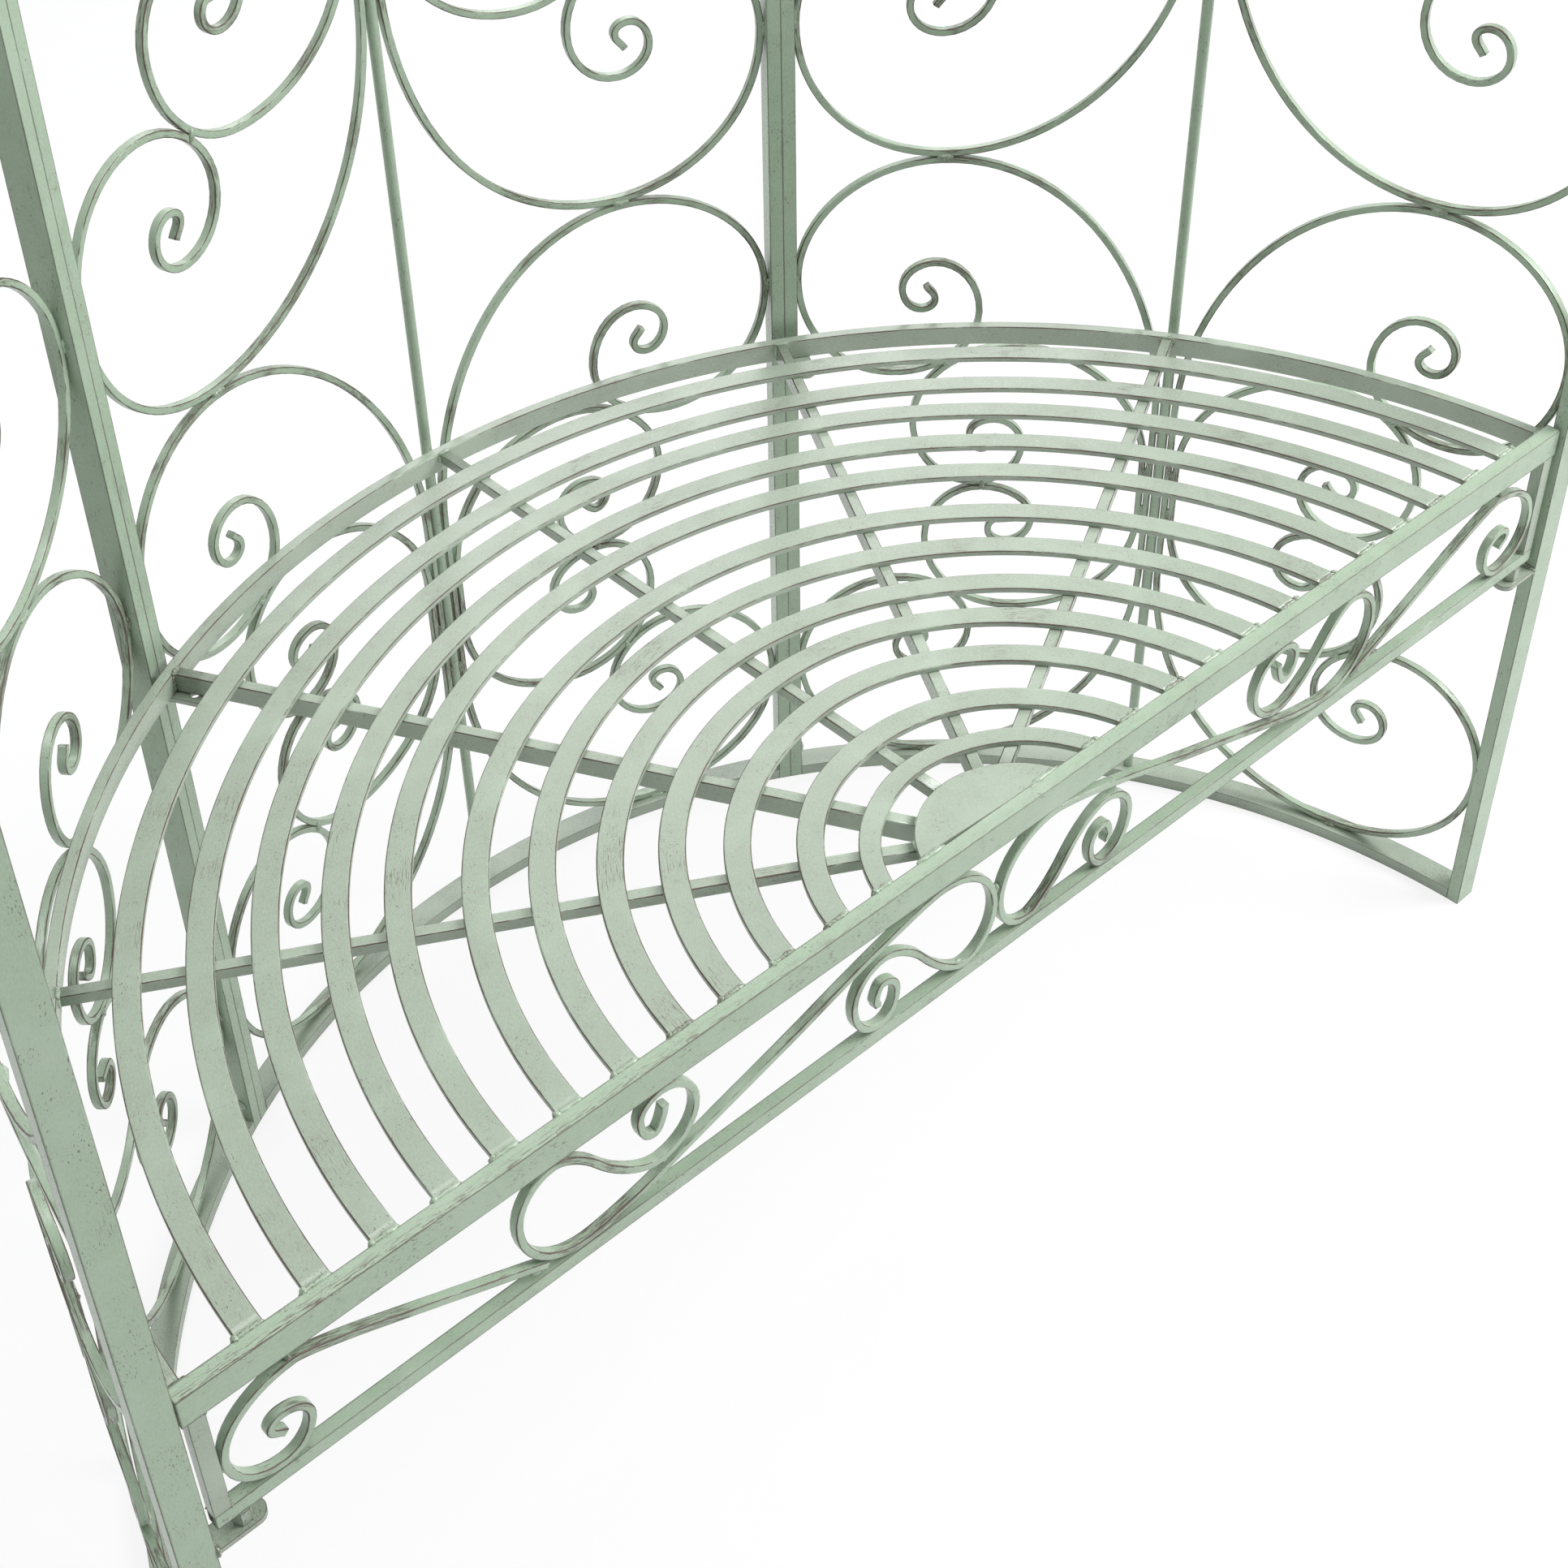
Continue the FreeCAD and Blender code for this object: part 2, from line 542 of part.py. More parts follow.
def apronScroll(name, way, hand):
    near = size("bar_setback")
    far = near + size("strip_depth")

    def toFront(across, down, depth):
        return V(hand * across, depth, barBottom - down)

    # headings are written for a drop that counts upwards, so it is turned over here
    flipped = [(x, -down, heading) for x, down, heading in way]
    points = [(x * apronWiden, -y * size("apron_drop") / DRAWN_DROP)
              for x, y in pathPoints(flipped)]
    return fromShape(name, stripSolid(points, stripThick, near, far, toFront))


for side, hand in (("left", -1), ("right", 1)):
    piece("apron_%s_corner_scroll" % side, apronScroll("corner_" + side, APRON_CORNER, hand))
    piece("apron_%s_wave_scroll" % side, apronScroll("wave_" + side, APRON_WAVE, hand))

# Tabs on the posts that carry the seat, with a round free end and a bolt hole.

def tab(name, end, place):
    """Flat tab from the post at X = 0 towards +X, centred on Y = 0, at the front or back."""
    body = doc.addObject("PartDesign::Body", name)
    plane = [f for f in body.Origin.OriginFeatures if f.Role == "XY_Plane"][0]
    sketch = body.newObject("Sketcher::SketchObject", name + "_outline")
    sketch.AttachmentSupport = (plane, [""])
    sketch.MapMode = "FlatFace"
    length, half = size(end + "_tab_length"), size("tab_width") / 2
    holeInset = size(end + "_tab_hole")
    arc = Part.ArcOfCircle(Part.Circle(V(length - half, 0, 0), V(0, 0, 1), half),
                           -math.pi / 2, math.pi / 2)
    sketch.addGeometry(Part.LineSegment(V(0, -half, 0), V(length - half, -half, 0)), False)
    sketch.addGeometry(arc, False)
    sketch.addGeometry(Part.LineSegment(V(length - half, half, 0), V(0, half, 0)), False)
    sketch.addGeometry(Part.LineSegment(V(0, half, 0), V(0, -half, 0)), False)
    hole = Part.Circle(V(holeInset, 0, 0), V(0, 0, 1), holeRadius)
    sketch.addGeometry(hole, False)
    con = Sketcher.Constraint
    sketch.addConstraint([con("Tangent", 0, 2, 1, 1), con("Tangent", 1, 2, 2, 1),
                          con("Coincident", 2, 2, 3, 1), con("Coincident", 3, 2, 0, 1),
                          con("Horizontal", 0), con("Vertical", 3),
                          con("PointOnObject", 3, 1, -2), con("PointOnObject", 1, 3, -1),
                          con("PointOnObject", 4, 3, -1)])
    for value, cell, made in (
            (half, "tab_width / 2", con("Radius", 1, half)),
            (length - half, end + "_tab_length - tab_width / 2",
             con("DistanceX", -1, 1, 1, 3, length - half)),
            (holeInset, end + "_tab_hole", con("DistanceX", -1, 1, 4, 3, holeInset)),
            (holeRadius, "(bolt_diameter + bolt_clearance) / 2", con("Radius", 4, holeRadius))):
        index = sketch.addConstraint(made)
        bind(sketch, **{"Constraints[%d]" % index: cell})
    pad = body.newObject("PartDesign::Pad", name + "_pad")
    pad.Profile = sketch
    bind(pad, Length="tab_thick")
    body.Placement = place
    return body


def tabPlace(angle, offset, z):
    """At the inner face of the post at this angle, pointing to the middle."""
    spot = onCircle(angle, size("post_inner_radius"), offset, z).Base
    return FreeCAD.Placement(spot, FreeCAD.Rotation(V(0, 0, 1), angle + 180))


halfTab = size("tab_width") / 2
frontTabPlaces = [FreeCAD.Placement(V(side * frontPostFace, seatBoltY,
                                      frontTabTop - size("tab_thick")),
                                    FreeCAD.Rotation(V(0, 0, 1), turn))
                  for side, turn in ((1, 180), (-1, 0))]
backTabPlaces = [tabPlace(seamAngle(seam), side * halfTab, rimBottom - size("tab_thick"))
                 for seam, side in ((1, -1), (2, 1))]
for end, places in (("front", frontTabPlaces), ("back", backTabPlaces)):
    for side, place in zip(("right", "left"), places):
        name = "%s_%s_seat_tab" % (end, side)
        piece(name, tab(name + "_body", end, place))

bolts = []
for x in (-seatBoltX, seatBoltX):
    length = size("tab_thick") + size("tall_nut_height") + size("apron_rail_height") / 2
    bolts.append(fromShape("seat_bolt_%d" % len(bolts), boltShape(length),
                           at(x, seatBoltY, frontTabTop - size("tab_thick"))))
    nuts.append(fromShape("nut_%d" % len(nuts), nutShape(size("tall_nut_height")),
                          at(x, seatBoltY, frontTabTop)))
group("seat_bolts", bolts)
group("hex_nuts", nuts)

# Roof: front arch over the front posts, two ribs from the back posts, finial on top.

def roofOutline(full):
    """Face between two ellipses in the XZ plane, over the whole span or its +X half."""
    rise, depth = size("roof_rise"), size("roof_bar_depth")
    outer = Part.Ellipse(V(postOuterRadius, 0, 0), V(0, 0, rise), V(0, 0, 0))
    inner = Part.Ellipse(V(size("post_inner_radius"), 0, 0), V(0, 0, rise - depth), V(0, 0, 0))
    end = math.pi if full else math.pi / 2
    outerEdge = Part.ArcOfEllipse(outer, 0, end).toShape()
    innerEdge = Part.ArcOfEllipse(inner, 0, end).toShape()
    foot = Part.makeLine(outerEdge.valueAt(outerEdge.FirstParameter),
                         innerEdge.valueAt(innerEdge.FirstParameter))
    head = Part.makeLine(outerEdge.valueAt(outerEdge.LastParameter),
                         innerEdge.valueAt(innerEdge.LastParameter))
    return Part.Face(Part.Wire([outerEdge, head, innerEdge, foot]))


barWidth = size("roof_bar_width")
arch = roofOutline(True).extrude(V(0, barWidth, 0))
piece("roof_front_arch", fromShape("arch", arch, at(0, 0, postHeight)))
for side, angle in (("right", seamAngle(1)), ("left", seamAngle(2))):
    profile = roofOutline(False)
    profile.translate(V(0, -barWidth / 2, 0))
    rib = fromShape("rib_" + side, profile.extrude(V(0, barWidth, 0)),
                    onCircle(angle, 0, 0, postHeight))
    front = box("rib_front_" + side, "2 * post_inner_radius", "post_inner_radius + roof_bar_width",
                "roof_rise + roof_bar_depth",
                at(-size("post_inner_radius"), -size("post_inner_radius"), postHeight))
    piece("roof_back_%s_rib" % side, boolean("Cut", "rib_cut_" + side, rib, front))

crown = postHeight + size("roof_rise")
neck = cylinder("finial_neck_part", "finial_neck / 2", "finial_neck_height + finial_ball / 4",
                at(0, barWidth / 2, crown))
ball = doc.addObject("Part::Sphere", "finial_ball_part")
bind(ball, Radius="finial_ball / 2")
ball.Placement = at(0, barWidth / 2,
                        crown + size("finial_neck_height") + size("finial_ball") / 2)
piece("roof_finial", boolean("Fuse", "finial", neck, ball))

# From the layout's front plane to the middle of the footprint.
front = barWidth / 2 - size("finial_ball") / 2
back = postOuterRadius - circleCentre
toMiddle = at(0, -(front + back) / 2)
for thing in nodes.values():
    thing.Placement = toMiddle.multiply(thing.Placement)

doc.recompute()

for thing in doc.Objects:
    if "Invalid" in thing.State or "Error" in thing.State:
        raise RuntimeError("not built: " + thing.Name)
for node, thing in nodes.items():
    if thing.Shape.isNull() or not thing.Shape.isValid() or not thing.Shape.Solids:
        raise RuntimeError("bad shape: " + node)

os.makedirs("parts", exist_ok=True)
for node, thing in nodes.items():
    thing.Shape.exportStep("parts/%s.step" % node)
print(len(nodes), "nodes")
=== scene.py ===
import math

import bpy
import numpy as np
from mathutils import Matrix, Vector


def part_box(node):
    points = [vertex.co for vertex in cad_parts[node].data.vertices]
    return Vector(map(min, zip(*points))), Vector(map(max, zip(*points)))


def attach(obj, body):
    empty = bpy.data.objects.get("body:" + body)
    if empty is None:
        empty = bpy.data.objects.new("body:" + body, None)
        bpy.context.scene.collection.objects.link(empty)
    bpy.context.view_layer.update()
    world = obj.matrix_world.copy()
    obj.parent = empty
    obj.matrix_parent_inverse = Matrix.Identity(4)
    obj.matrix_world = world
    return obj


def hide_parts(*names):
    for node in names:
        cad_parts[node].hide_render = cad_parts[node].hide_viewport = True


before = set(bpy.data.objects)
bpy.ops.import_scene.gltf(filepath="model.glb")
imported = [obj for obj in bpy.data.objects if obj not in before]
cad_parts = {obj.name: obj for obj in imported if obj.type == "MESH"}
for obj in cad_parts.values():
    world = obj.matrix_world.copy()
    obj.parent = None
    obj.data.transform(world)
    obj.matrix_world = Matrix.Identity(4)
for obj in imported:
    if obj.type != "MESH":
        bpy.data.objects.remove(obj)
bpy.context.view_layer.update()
print("frame loaded:", len(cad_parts), "nodes")

# Main lines of the arbour in millimetres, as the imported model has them.
arbour = {
    "postInner": 559.0,       # circle of the inner faces of the posts
    "postDepth": 20.0,
    "postWidth": 10.0,
    "panelAngle": 59.4,       # degrees that one curved panel takes
    "frontPlane": -280.031,   # front plane of the posts on the frame's Y
    "railHeight": 10.0,
    "rowHeight": 577.0,       # one row of scrolls
    "rows": 3,
    "seatTop": 460.0,
    "slatThick": 4.0,
    "barSetback": 3.5,        # front bar of the seat, behind the front plane
    "barDepth": 10.0,
    "barHeight": 20.0,
    "apronDrop": 80.0,        # from the front bar down to the rail of the apron
}
midRadius = arbour["postInner"] + arbour["postDepth"] / 2
frontAngle = 90 - 1.5 * arbour["panelAngle"]
circleY = arbour["frontPlane"] - midRadius * math.sin(math.radians(frontAngle))
barFront = arbour["frontPlane"] + arbour["barSetback"]
barBack = barFront + arbour["barDepth"]
barBottom = arbour["seatTop"] - arbour["barHeight"]
slatFloor = arbour["seatTop"] - arbour["slatThick"]


# sRGB hex to the linear colour that the shaders take.
def linear(code):
    parts = [int(code[i:i + 2], 16) / 255 for i in (1, 3, 5)]
    curved = [c / 12.92 if c <= 0.04045 else ((c + 0.055) / 1.055) ** 2.4 for c in parts]
    return (*curved, 1.0)


# A node with its settings, and its sockets set or linked. A node given as an input stands for its
# first output. The colours of a Mix node are its inputs 6 and 7 and its output 2.
def addNode(tree, kind, inputs=None, **settings):
    node = tree.nodes.new(kind)
    for key, value in settings.items():
        setattr(node, key, value)
    for key, value in (inputs or {}).items():
        if isinstance(value, bpy.types.Node):
            value = value.outputs[0]
        if isinstance(value, bpy.types.NodeSocket):
            tree.links.new(value, node.inputs[key])
        else:
            node.inputs[key].default_value = value
    return node


# An empty material and its node tree.
def startMaterial(name):
    material = bpy.data.materials.new(name)
    material.use_nodes = True
    material.node_tree.nodes.clear()
    return material, material.node_tree


# Camera and studio

view = {
    "place": (-0.76432, -0.91677, 1.41672),
    "turn": (51.8775, 3.4085, -39.9782),    # degrees about X, Y and Z
    "lens": 54.461,
    "sensor": 36.0,
    "shift": (0.11772, -0.12865),
}
cameraData = bpy.data.cameras.new("photoCamera")
cameraData.sensor_width = view["sensor"]
cameraData.lens = view["lens"]
cameraData.shift_x, cameraData.shift_y = view["shift"]
camera = bpy.data.objects.new("photoCamera", cameraData)
camera.location = view["place"]
camera.rotation_euler = [math.radians(a) for a in view["turn"]]
bpy.context.scene.collection.objects.link(camera)
bpy.context.scene.camera = camera

studio = {
    "floorHalf": 9.0,
    "floorColour": "#F0F0F0",
    "floorGlow": 0.80,        # share of plain white that the camera sees in the floor
    "skyStrength": 0.35,
    "skyColour": "#F6FFFB",   # a touch cooler than the lamps
    "lamps": [
        # name, place, aim, width, watts
        ("keyLamp", (2.3, -1.8, 2.5), (0.0, 0.0, 0.45), 2.0, 125),
        ("topLamp", (-0.3, 0.4, 3.7), (0.0, 0.0, 0.4), 2.6, 68),
        ("shineLamp", (1.95, 2.25, 2.2), (0.1, 0.1, 0.45), 2.0, 24),
    ],
}


# 1 where floor or sky is seen, also in gloss and through glass, and 0 where it only gives light.
def seenPlainly(tree):
    rays = addNode(tree, "ShaderNodeLightPath").outputs
    seen = addNode(tree, "ShaderNodeMath", {0: rays["Is Camera Ray"], 1: rays["Is Glossy Ray"]},
                   operation="MAXIMUM")
    return addNode(tree, "ShaderNodeMath", {0: seen, 1: rays["Is Transmission Ray"]},
                   operation="MAXIMUM")


# A square matt floor that shows nearly white and still takes the object's shadow.
def makeFloor(settings):
    half = settings["floorHalf"]
    corners = [(-half, -half, 0), (half, -half, 0), (half, half, 0), (-half, half, 0)]
    mesh = bpy.data.meshes.new("studioFloor")
    mesh.from_pydata(corners, [], [(0, 1, 2, 3)])
    floor = bpy.data.objects.new("studioFloor", mesh)
    bpy.context.scene.collection.objects.link(floor)
    material, tree = startMaterial("paleStudioFloor")
    glow = addNode(tree, "ShaderNodeMath", {0: seenPlainly(tree), 1: settings["floorGlow"]},
                   operation="MULTIPLY")
    matt = addNode(tree, "ShaderNodeBsdfDiffuse", {"Color": linear(settings["floorColour"])})
    white = addNode(tree, "ShaderNodeEmission", {"Color": (1, 1, 1, 1), "Strength": 1.0})
    mixed = addNode(tree, "ShaderNodeMixShader", {0: glow, 1: matt, 2: white})
    addNode(tree, "ShaderNodeOutputMaterial", {"Surface": mixed})
    mesh.materials.append(material)


# Round soft lamps, each turned from its place to its aim.
def makeLamps(settings):
    for name, place, aim, width, watts in settings["lamps"]:
        lamp = bpy.data.lights.new(name, "AREA")
        lamp.shape = "DISK"
        lamp.size = width
        lamp.energy = watts
        holder = bpy.data.objects.new(name, lamp)
        holder.location = place
        holder.rotation_euler = (Vector(aim) - Vector(place)).to_track_quat("-Z", "Y").to_euler()
        bpy.context.scene.collection.objects.link(holder)


# A sky that shows white and lights the object faintly with its own colour.
def makeSky(settings):
    world = bpy.data.worlds.new("studioSky")
    world.use_nodes = True
    tree = world.node_tree
    tree.nodes.clear()
    seen = seenPlainly(tree)
    strength = addNode(tree, "ShaderNodeMapRange",
                       {"Value": seen, "To Min": settings["skyStrength"], "To Max": 1.0})
    tint = addNode(tree, "ShaderNodeMix",
                   {0: seen, 6: linear(settings["skyColour"]), 7: (1, 1, 1, 1)}, data_type="RGBA")
    sky = addNode(tree, "ShaderNodeBackground", {"Color": tint.outputs[2], "Strength": strength})
    addNode(tree, "ShaderNodeOutputWorld", {"Surface": sky})
    bpy.context.scene.world = world


makeFloor(studio)
makeLamps(studio)
makeSky(studio)
bpy.context.scene.view_settings.view_transform = "Standard"
print("camera and studio made")

# Finishes

paint = {
    "sage": "#9FB19B",        # the top coat, paler in its fine grain
    "sageDeep": "#96A893",
    "chalk": "#AEBBAA",       # where the top coat is rubbed thin and pale
    "chalkMost": 0.35,        # the most of it that shows
    "primer": "#382A25",      # dark brown coat that shows where the green is rubbed off
    "primerPale": "#5E4C43",
    "lineLong": 11.0,         # mm, from one break in a rubbed line to the next
    "lineFine": 0.9,          # mm, how finely its width varies
    "markLong": 13.0,         # mm, length of a rubbed brush mark
    "markFine": 0.7,          # mm, its width
    "dotLong": 2.6,           # mm, stippled dots, coarser than the real ones, too fine to show
    "dotFine": 0.8,
    "evenCoarse": 0.7,        # scale of all three on a part that has no length to run along
    "patch": 60.0,            # mm, from one worn place to the next
    "fields": 2.6,            # how much closer than patches the fields of dots come
    "edge": 1.1,              # mm, how far the rubbed line reaches from an edge
    "line": 0.0,              # how much of an edge is rubbed: -0.8 hardly any, 0.8 nearly all
    "breakSway": 0.8,         # how far breaks and patches push that to and fro
    "patchSway": 0.9,
    "edgeWorn": 0.12,         # how much more worn an edge is than a flat
    "placesWorn": 0.06,       # what the wear of a finish adds to its worn places and to their marks
    "marksWorn": 0.05,
    "markMost": 0.85,         # the most green that a brush mark takes off, and that a dot does
    "dotMost": 0.70,
    "handled": 0.0,           # more rubbing on top along the front edge, most at the left end
    "handledRight": 0.2,      # share of it at the right end
    "roughness": 0.27,
    "rubbedRougher": 0.25,
    "shine": 0.62,            # specular level: a hard enamel over sealed primer
    "brushHeight": 0.35,      # height of a brush mark against the depth of a rubbed place
    "relief": 0.06,           # mm, that depth
}
# Where each effect starts and where it is full, mostly as values of its noise.
spans = {
    "edge": (0.998, 0.82),    # cosine between a face and the rounding laid over its edge
    "close": (0.0, 0.35),     # nearness to an edge
    "line": (0.62, 0.85),
    "worn": (0.60, 0.72),
    "mark": (0.57, 0.66),
    "dot": (0.60, 0.68),
    "field": (0.45, 0.58),
    "chatter": (0.50, 0.58),
    "tone": (0.30, 0.60),
    "thin": (0.50, 0.30),
    "bare": (0.4, 0.65),
    "upward": (0.6, 0.9),     # upward part of the normal
    "leftward": (0.05, -0.50),                                          # metres on X
    "frontward": (barFront / 1000 + 0.0075, barFront / 1000 + 0.002),   # metres on Y
}


# The two ends of a span, for the sockets of a Map Range node.
def between(span, shift=0.0):
    low, high = spans[span]
    return {"From Min": low + shift, "From Max": high + shift}


# Sage green satin enamel brushed over a dark brown primer on mild steel, then rubbed back by hand:
# smooth flats with a fine pale grain, thin broken brown lines along the edges, and patches of fine
# brown dots and marks. The grain follows a bar's own length, stands up, lies across or is even.
def paintedSteel(name, look, grain, wear):
    material, tree = startMaterial(name)
    place = addNode(tree, "ShaderNodeTexCoord").outputs["Object"]
    start = addNode(tree, "ShaderNodeUVMap", uv_map="run") if grain == "run" else place

    # three noises drawn out along the bar, their grains long by fine
    drawn = []
    for size, detail, roughness in (("line", 4.0, 0.65), ("mark", 5.0, 0.7), ("dot", 1.0, 0.5)):
        long, fine = 1000 / look[size + "Long"], 1000 / look[size + "Fine"]
        even = fine * look["evenCoarse"]
        scale = {"run": (long, fine, 1), "up": (fine, fine, long), "across": (long, fine, fine),
                 "even": (even, even, even)}[grain]
        along = addNode(tree, "ShaderNodeMapping", {"Vector": start, "Scale": scale})
        drawn.append(addNode(tree, "ShaderNodeTexNoise",
                             {"Vector": along, "Scale": 1.0, "Detail": detail,
                              "Roughness": roughness}))
    breaks, marks, dots = drawn
    patch = addNode(tree, "ShaderNodeTexNoise", {"Vector": place, "Scale": 1000 / look["patch"],
                                                 "Detail": 3.0, "Roughness": 0.55})
    cloud = addNode(tree, "ShaderNodeTexNoise",
                    {"Vector": place, "Scale": look["fields"] * 1000 / look["patch"],
                     "Detail": 5.0, "Roughness": 0.6})

    # how near an edge this is, 0 to 1
    if grain == "run":
        near = addNode(tree, "ShaderNodeAttribute", attribute_name="edge").outputs["Fac"]
    else:
        rounded = addNode(tree, "ShaderNodeBevel", {"Radius": look["edge"] / 1000}, samples=6)
        flat = addNode(tree, "ShaderNodeNewGeometry").outputs["True Normal"]
        turned = addNode(tree, "ShaderNodeVectorMath", {0: rounded, 1: flat},
                         operation="DOT_PRODUCT").outputs["Value"]
        near = addNode(tree, "ShaderNodeMapRange", {"Value": turned, **between("edge")})

    # the rubbed line follows the edge where breaks and patch let it
    jitter = addNode(tree, "ShaderNodeMapRange", {"Value": breaks, "To Min": -look["breakSway"],
                                                  "To Max": look["breakSway"]})
    drift = addNode(tree, "ShaderNodeMapRange", {"Value": patch,
                                                 "To Min": look["line"] - look["patchSway"],
                                                 "To Max": look["line"] + look["patchSway"]})
    sway = addNode(tree, "ShaderNodeMath", {0: jitter, 1: drift}, operation="ADD")
    band = None
    if look["handled"]:
        spot = addNode(tree, "ShaderNodeSeparateXYZ", {0: place}).outputs
        facing = addNode(tree, "ShaderNodeNewGeometry").outputs["True Normal"]
        facing = addNode(tree, "ShaderNodeSeparateXYZ", {0: facing}).outputs["Z"]
        upward = addNode(tree, "ShaderNodeMapRange", {"Value": facing, **between("upward")})
        leftward = addNode(tree, "ShaderNodeMapRange", {"Value": spot["X"], **between("leftward"),
                                                        "To Min": look["handledRight"]})
        frontward = addNode(tree, "ShaderNodeMapRange",
                            {"Value": spot["Y"], **between("frontward")})
        band = addNode(tree, "ShaderNodeMath", {0: leftward, 1: upward}, operation="MULTIPLY")
        band = addNode(tree, "ShaderNodeMath", {0: band, 1: frontward}, operation="MULTIPLY")
        sway = addNode(tree, "ShaderNodeMath", {0: band, 1: look["handled"], 2: sway},
                       operation="MULTIPLY_ADD")
    line = addNode(tree, "ShaderNodeMath", {0: near, 1: sway}, operation="ADD")
    line = addNode(tree, "ShaderNodeMapRange", {"Value": line, **between("line")})
    close = addNode(tree, "ShaderNodeMapRange", {"Value": near, **between("close")})
    line = addNode(tree, "ShaderNodeMath", {0: line, 1: close}, operation="MULTIPLY")

    # brush marks rubbed through in worn places, and fields of fine dots
    worn = addNode(tree, "ShaderNodeMath", {0: near, 1: look["edgeWorn"], 2: patch},
                   operation="MULTIPLY_ADD")
    worn = addNode(tree, "ShaderNodeMapRange",
                   {"Value": worn, **between("worn", -look["placesWorn"] * wear)})
    marked = addNode(tree, "ShaderNodeMath", {0: worn, 1: look["marksWorn"] * wear, 2: marks},
                     operation="MULTIPLY_ADD")
    marked = addNode(tree, "ShaderNodeMapRange", {"Value": marked, **between("mark"),
                                                  "To Max": look["markMost"]})
    scratch = addNode(tree, "ShaderNodeMath", {0: marked, 1: worn}, operation="MULTIPLY")
    dotted = addNode(tree, "ShaderNodeMapRange", {"Value": dots, **between("dot"),
                                                  "To Max": look["dotMost"]})
    field = addNode(tree, "ShaderNodeMapRange", {"Value": cloud, **between("field")})
    dusk = addNode(tree, "ShaderNodeMath", {0: dotted, 1: field}, operation="MULTIPLY")
    rub = addNode(tree, "ShaderNodeMath", {0: line, 1: scratch}, operation="MAXIMUM")
    rub = addNode(tree, "ShaderNodeMath", {0: rub, 1: dusk}, operation="MAXIMUM")
    if band:
        chatter = addNode(tree, "ShaderNodeMapRange", {"Value": breaks, **between("chatter")})
        chatter = addNode(tree, "ShaderNodeMath", {0: chatter, 1: band}, operation="MULTIPLY")
        rub = addNode(tree, "ShaderNodeMath", {0: rub, 1: chatter}, operation="MAXIMUM")

    # colours from the coats
    tone = addNode(tree, "ShaderNodeMapRange", {"Value": dots, **between("tone")})
    coat = addNode(tree, "ShaderNodeMix",
                   {0: tone, 6: linear(look["sageDeep"]), 7: linear(look["sage"])},
                   data_type="RGBA").outputs[2]
    thin = addNode(tree, "ShaderNodeMapRange", {"Value": patch, **between("thin"),
                                                "To Max": look["chalkMost"]})
    coat = addNode(tree, "ShaderNodeMix", {0: thin, 6: coat, 7: linear(look["chalk"])},
                   data_type="RGBA").outputs[2]
    bare = addNode(tree, "ShaderNodeMapRange", {"Value": breaks, **between("bare")})
    under = addNode(tree, "ShaderNodeMix",
                    {0: bare, 6: linear(look["primer"]), 7: linear(look["primerPale"])},
                    data_type="RGBA").outputs[2]
    colour = addNode(tree, "ShaderNodeMix", {0: rub, 6: coat, 7: under},
                     data_type="RGBA").outputs[2]
    rough = addNode(tree, "ShaderNodeMapRange",
                    {"Value": rub, "To Min": look["roughness"],
                     "To Max": look["roughness"] + look["rubbedRougher"]})

    # brush marks stand a little, and the rubbed places lie lower
    height = addNode(tree, "ShaderNodeMath", {0: marks, 1: look["brushHeight"]},
                     operation="MULTIPLY")
    height = addNode(tree, "ShaderNodeMath", {0: height, 1: rub}, operation="SUBTRACT")
    bump = addNode(tree, "ShaderNodeBump", {"Height": height, "Distance": look["relief"] / 1000,
                                            "Strength": 0.6})
    if grain != "run":
        tree.links.new(rounded.outputs[0], bump.inputs["Normal"])
    surface = addNode(tree, "ShaderNodeBsdfPrincipled",
                      {"Base Color": colour, "Metallic": 0.0, "Roughness": rough,
                       "Specular IOR Level": look["shine"], "Normal": bump})
    addNode(tree, "ShaderNodeOutputMaterial", {"Surface": surface})
    return material


plugs = {
    "black": "#161616",
    "blackPale": "#262626",
    "grain": 0.25,            # mm, left by the spark-eroded mould
    "relief": 0.05,           # mm
    "roughness": 0.62,
    "refraction": 1.51,
}


# Injection-moulded black polyethylene: matt, with a faint spark-eroded grain.
def mouldedPlastic(name, look):
    material, tree = startMaterial(name)
    place = addNode(tree, "ShaderNodeTexCoord").outputs["Object"]
    grain = addNode(tree, "ShaderNodeTexNoise", {"Vector": place, "Scale": 1000 / look["grain"],
                                                 "Detail": 2.0})
    shade = addNode(tree, "ShaderNodeMix",
                    {0: grain, 6: linear(look["black"]), 7: linear(look["blackPale"])},
                    data_type="RGBA").outputs[2]
    bump = addNode(tree, "ShaderNodeBump", {"Height": grain, "Distance": look["relief"] / 1000,
                                            "Strength": 0.6})
    surface = addNode(tree, "ShaderNodeBsdfPrincipled",
                      {"Base Color": shade, "Roughness": look["roughness"],
                       "IOR": look["refraction"], "Normal": bump})
    addNode(tree, "ShaderNodeOutputMaterial", {"Surface": surface})
    return material


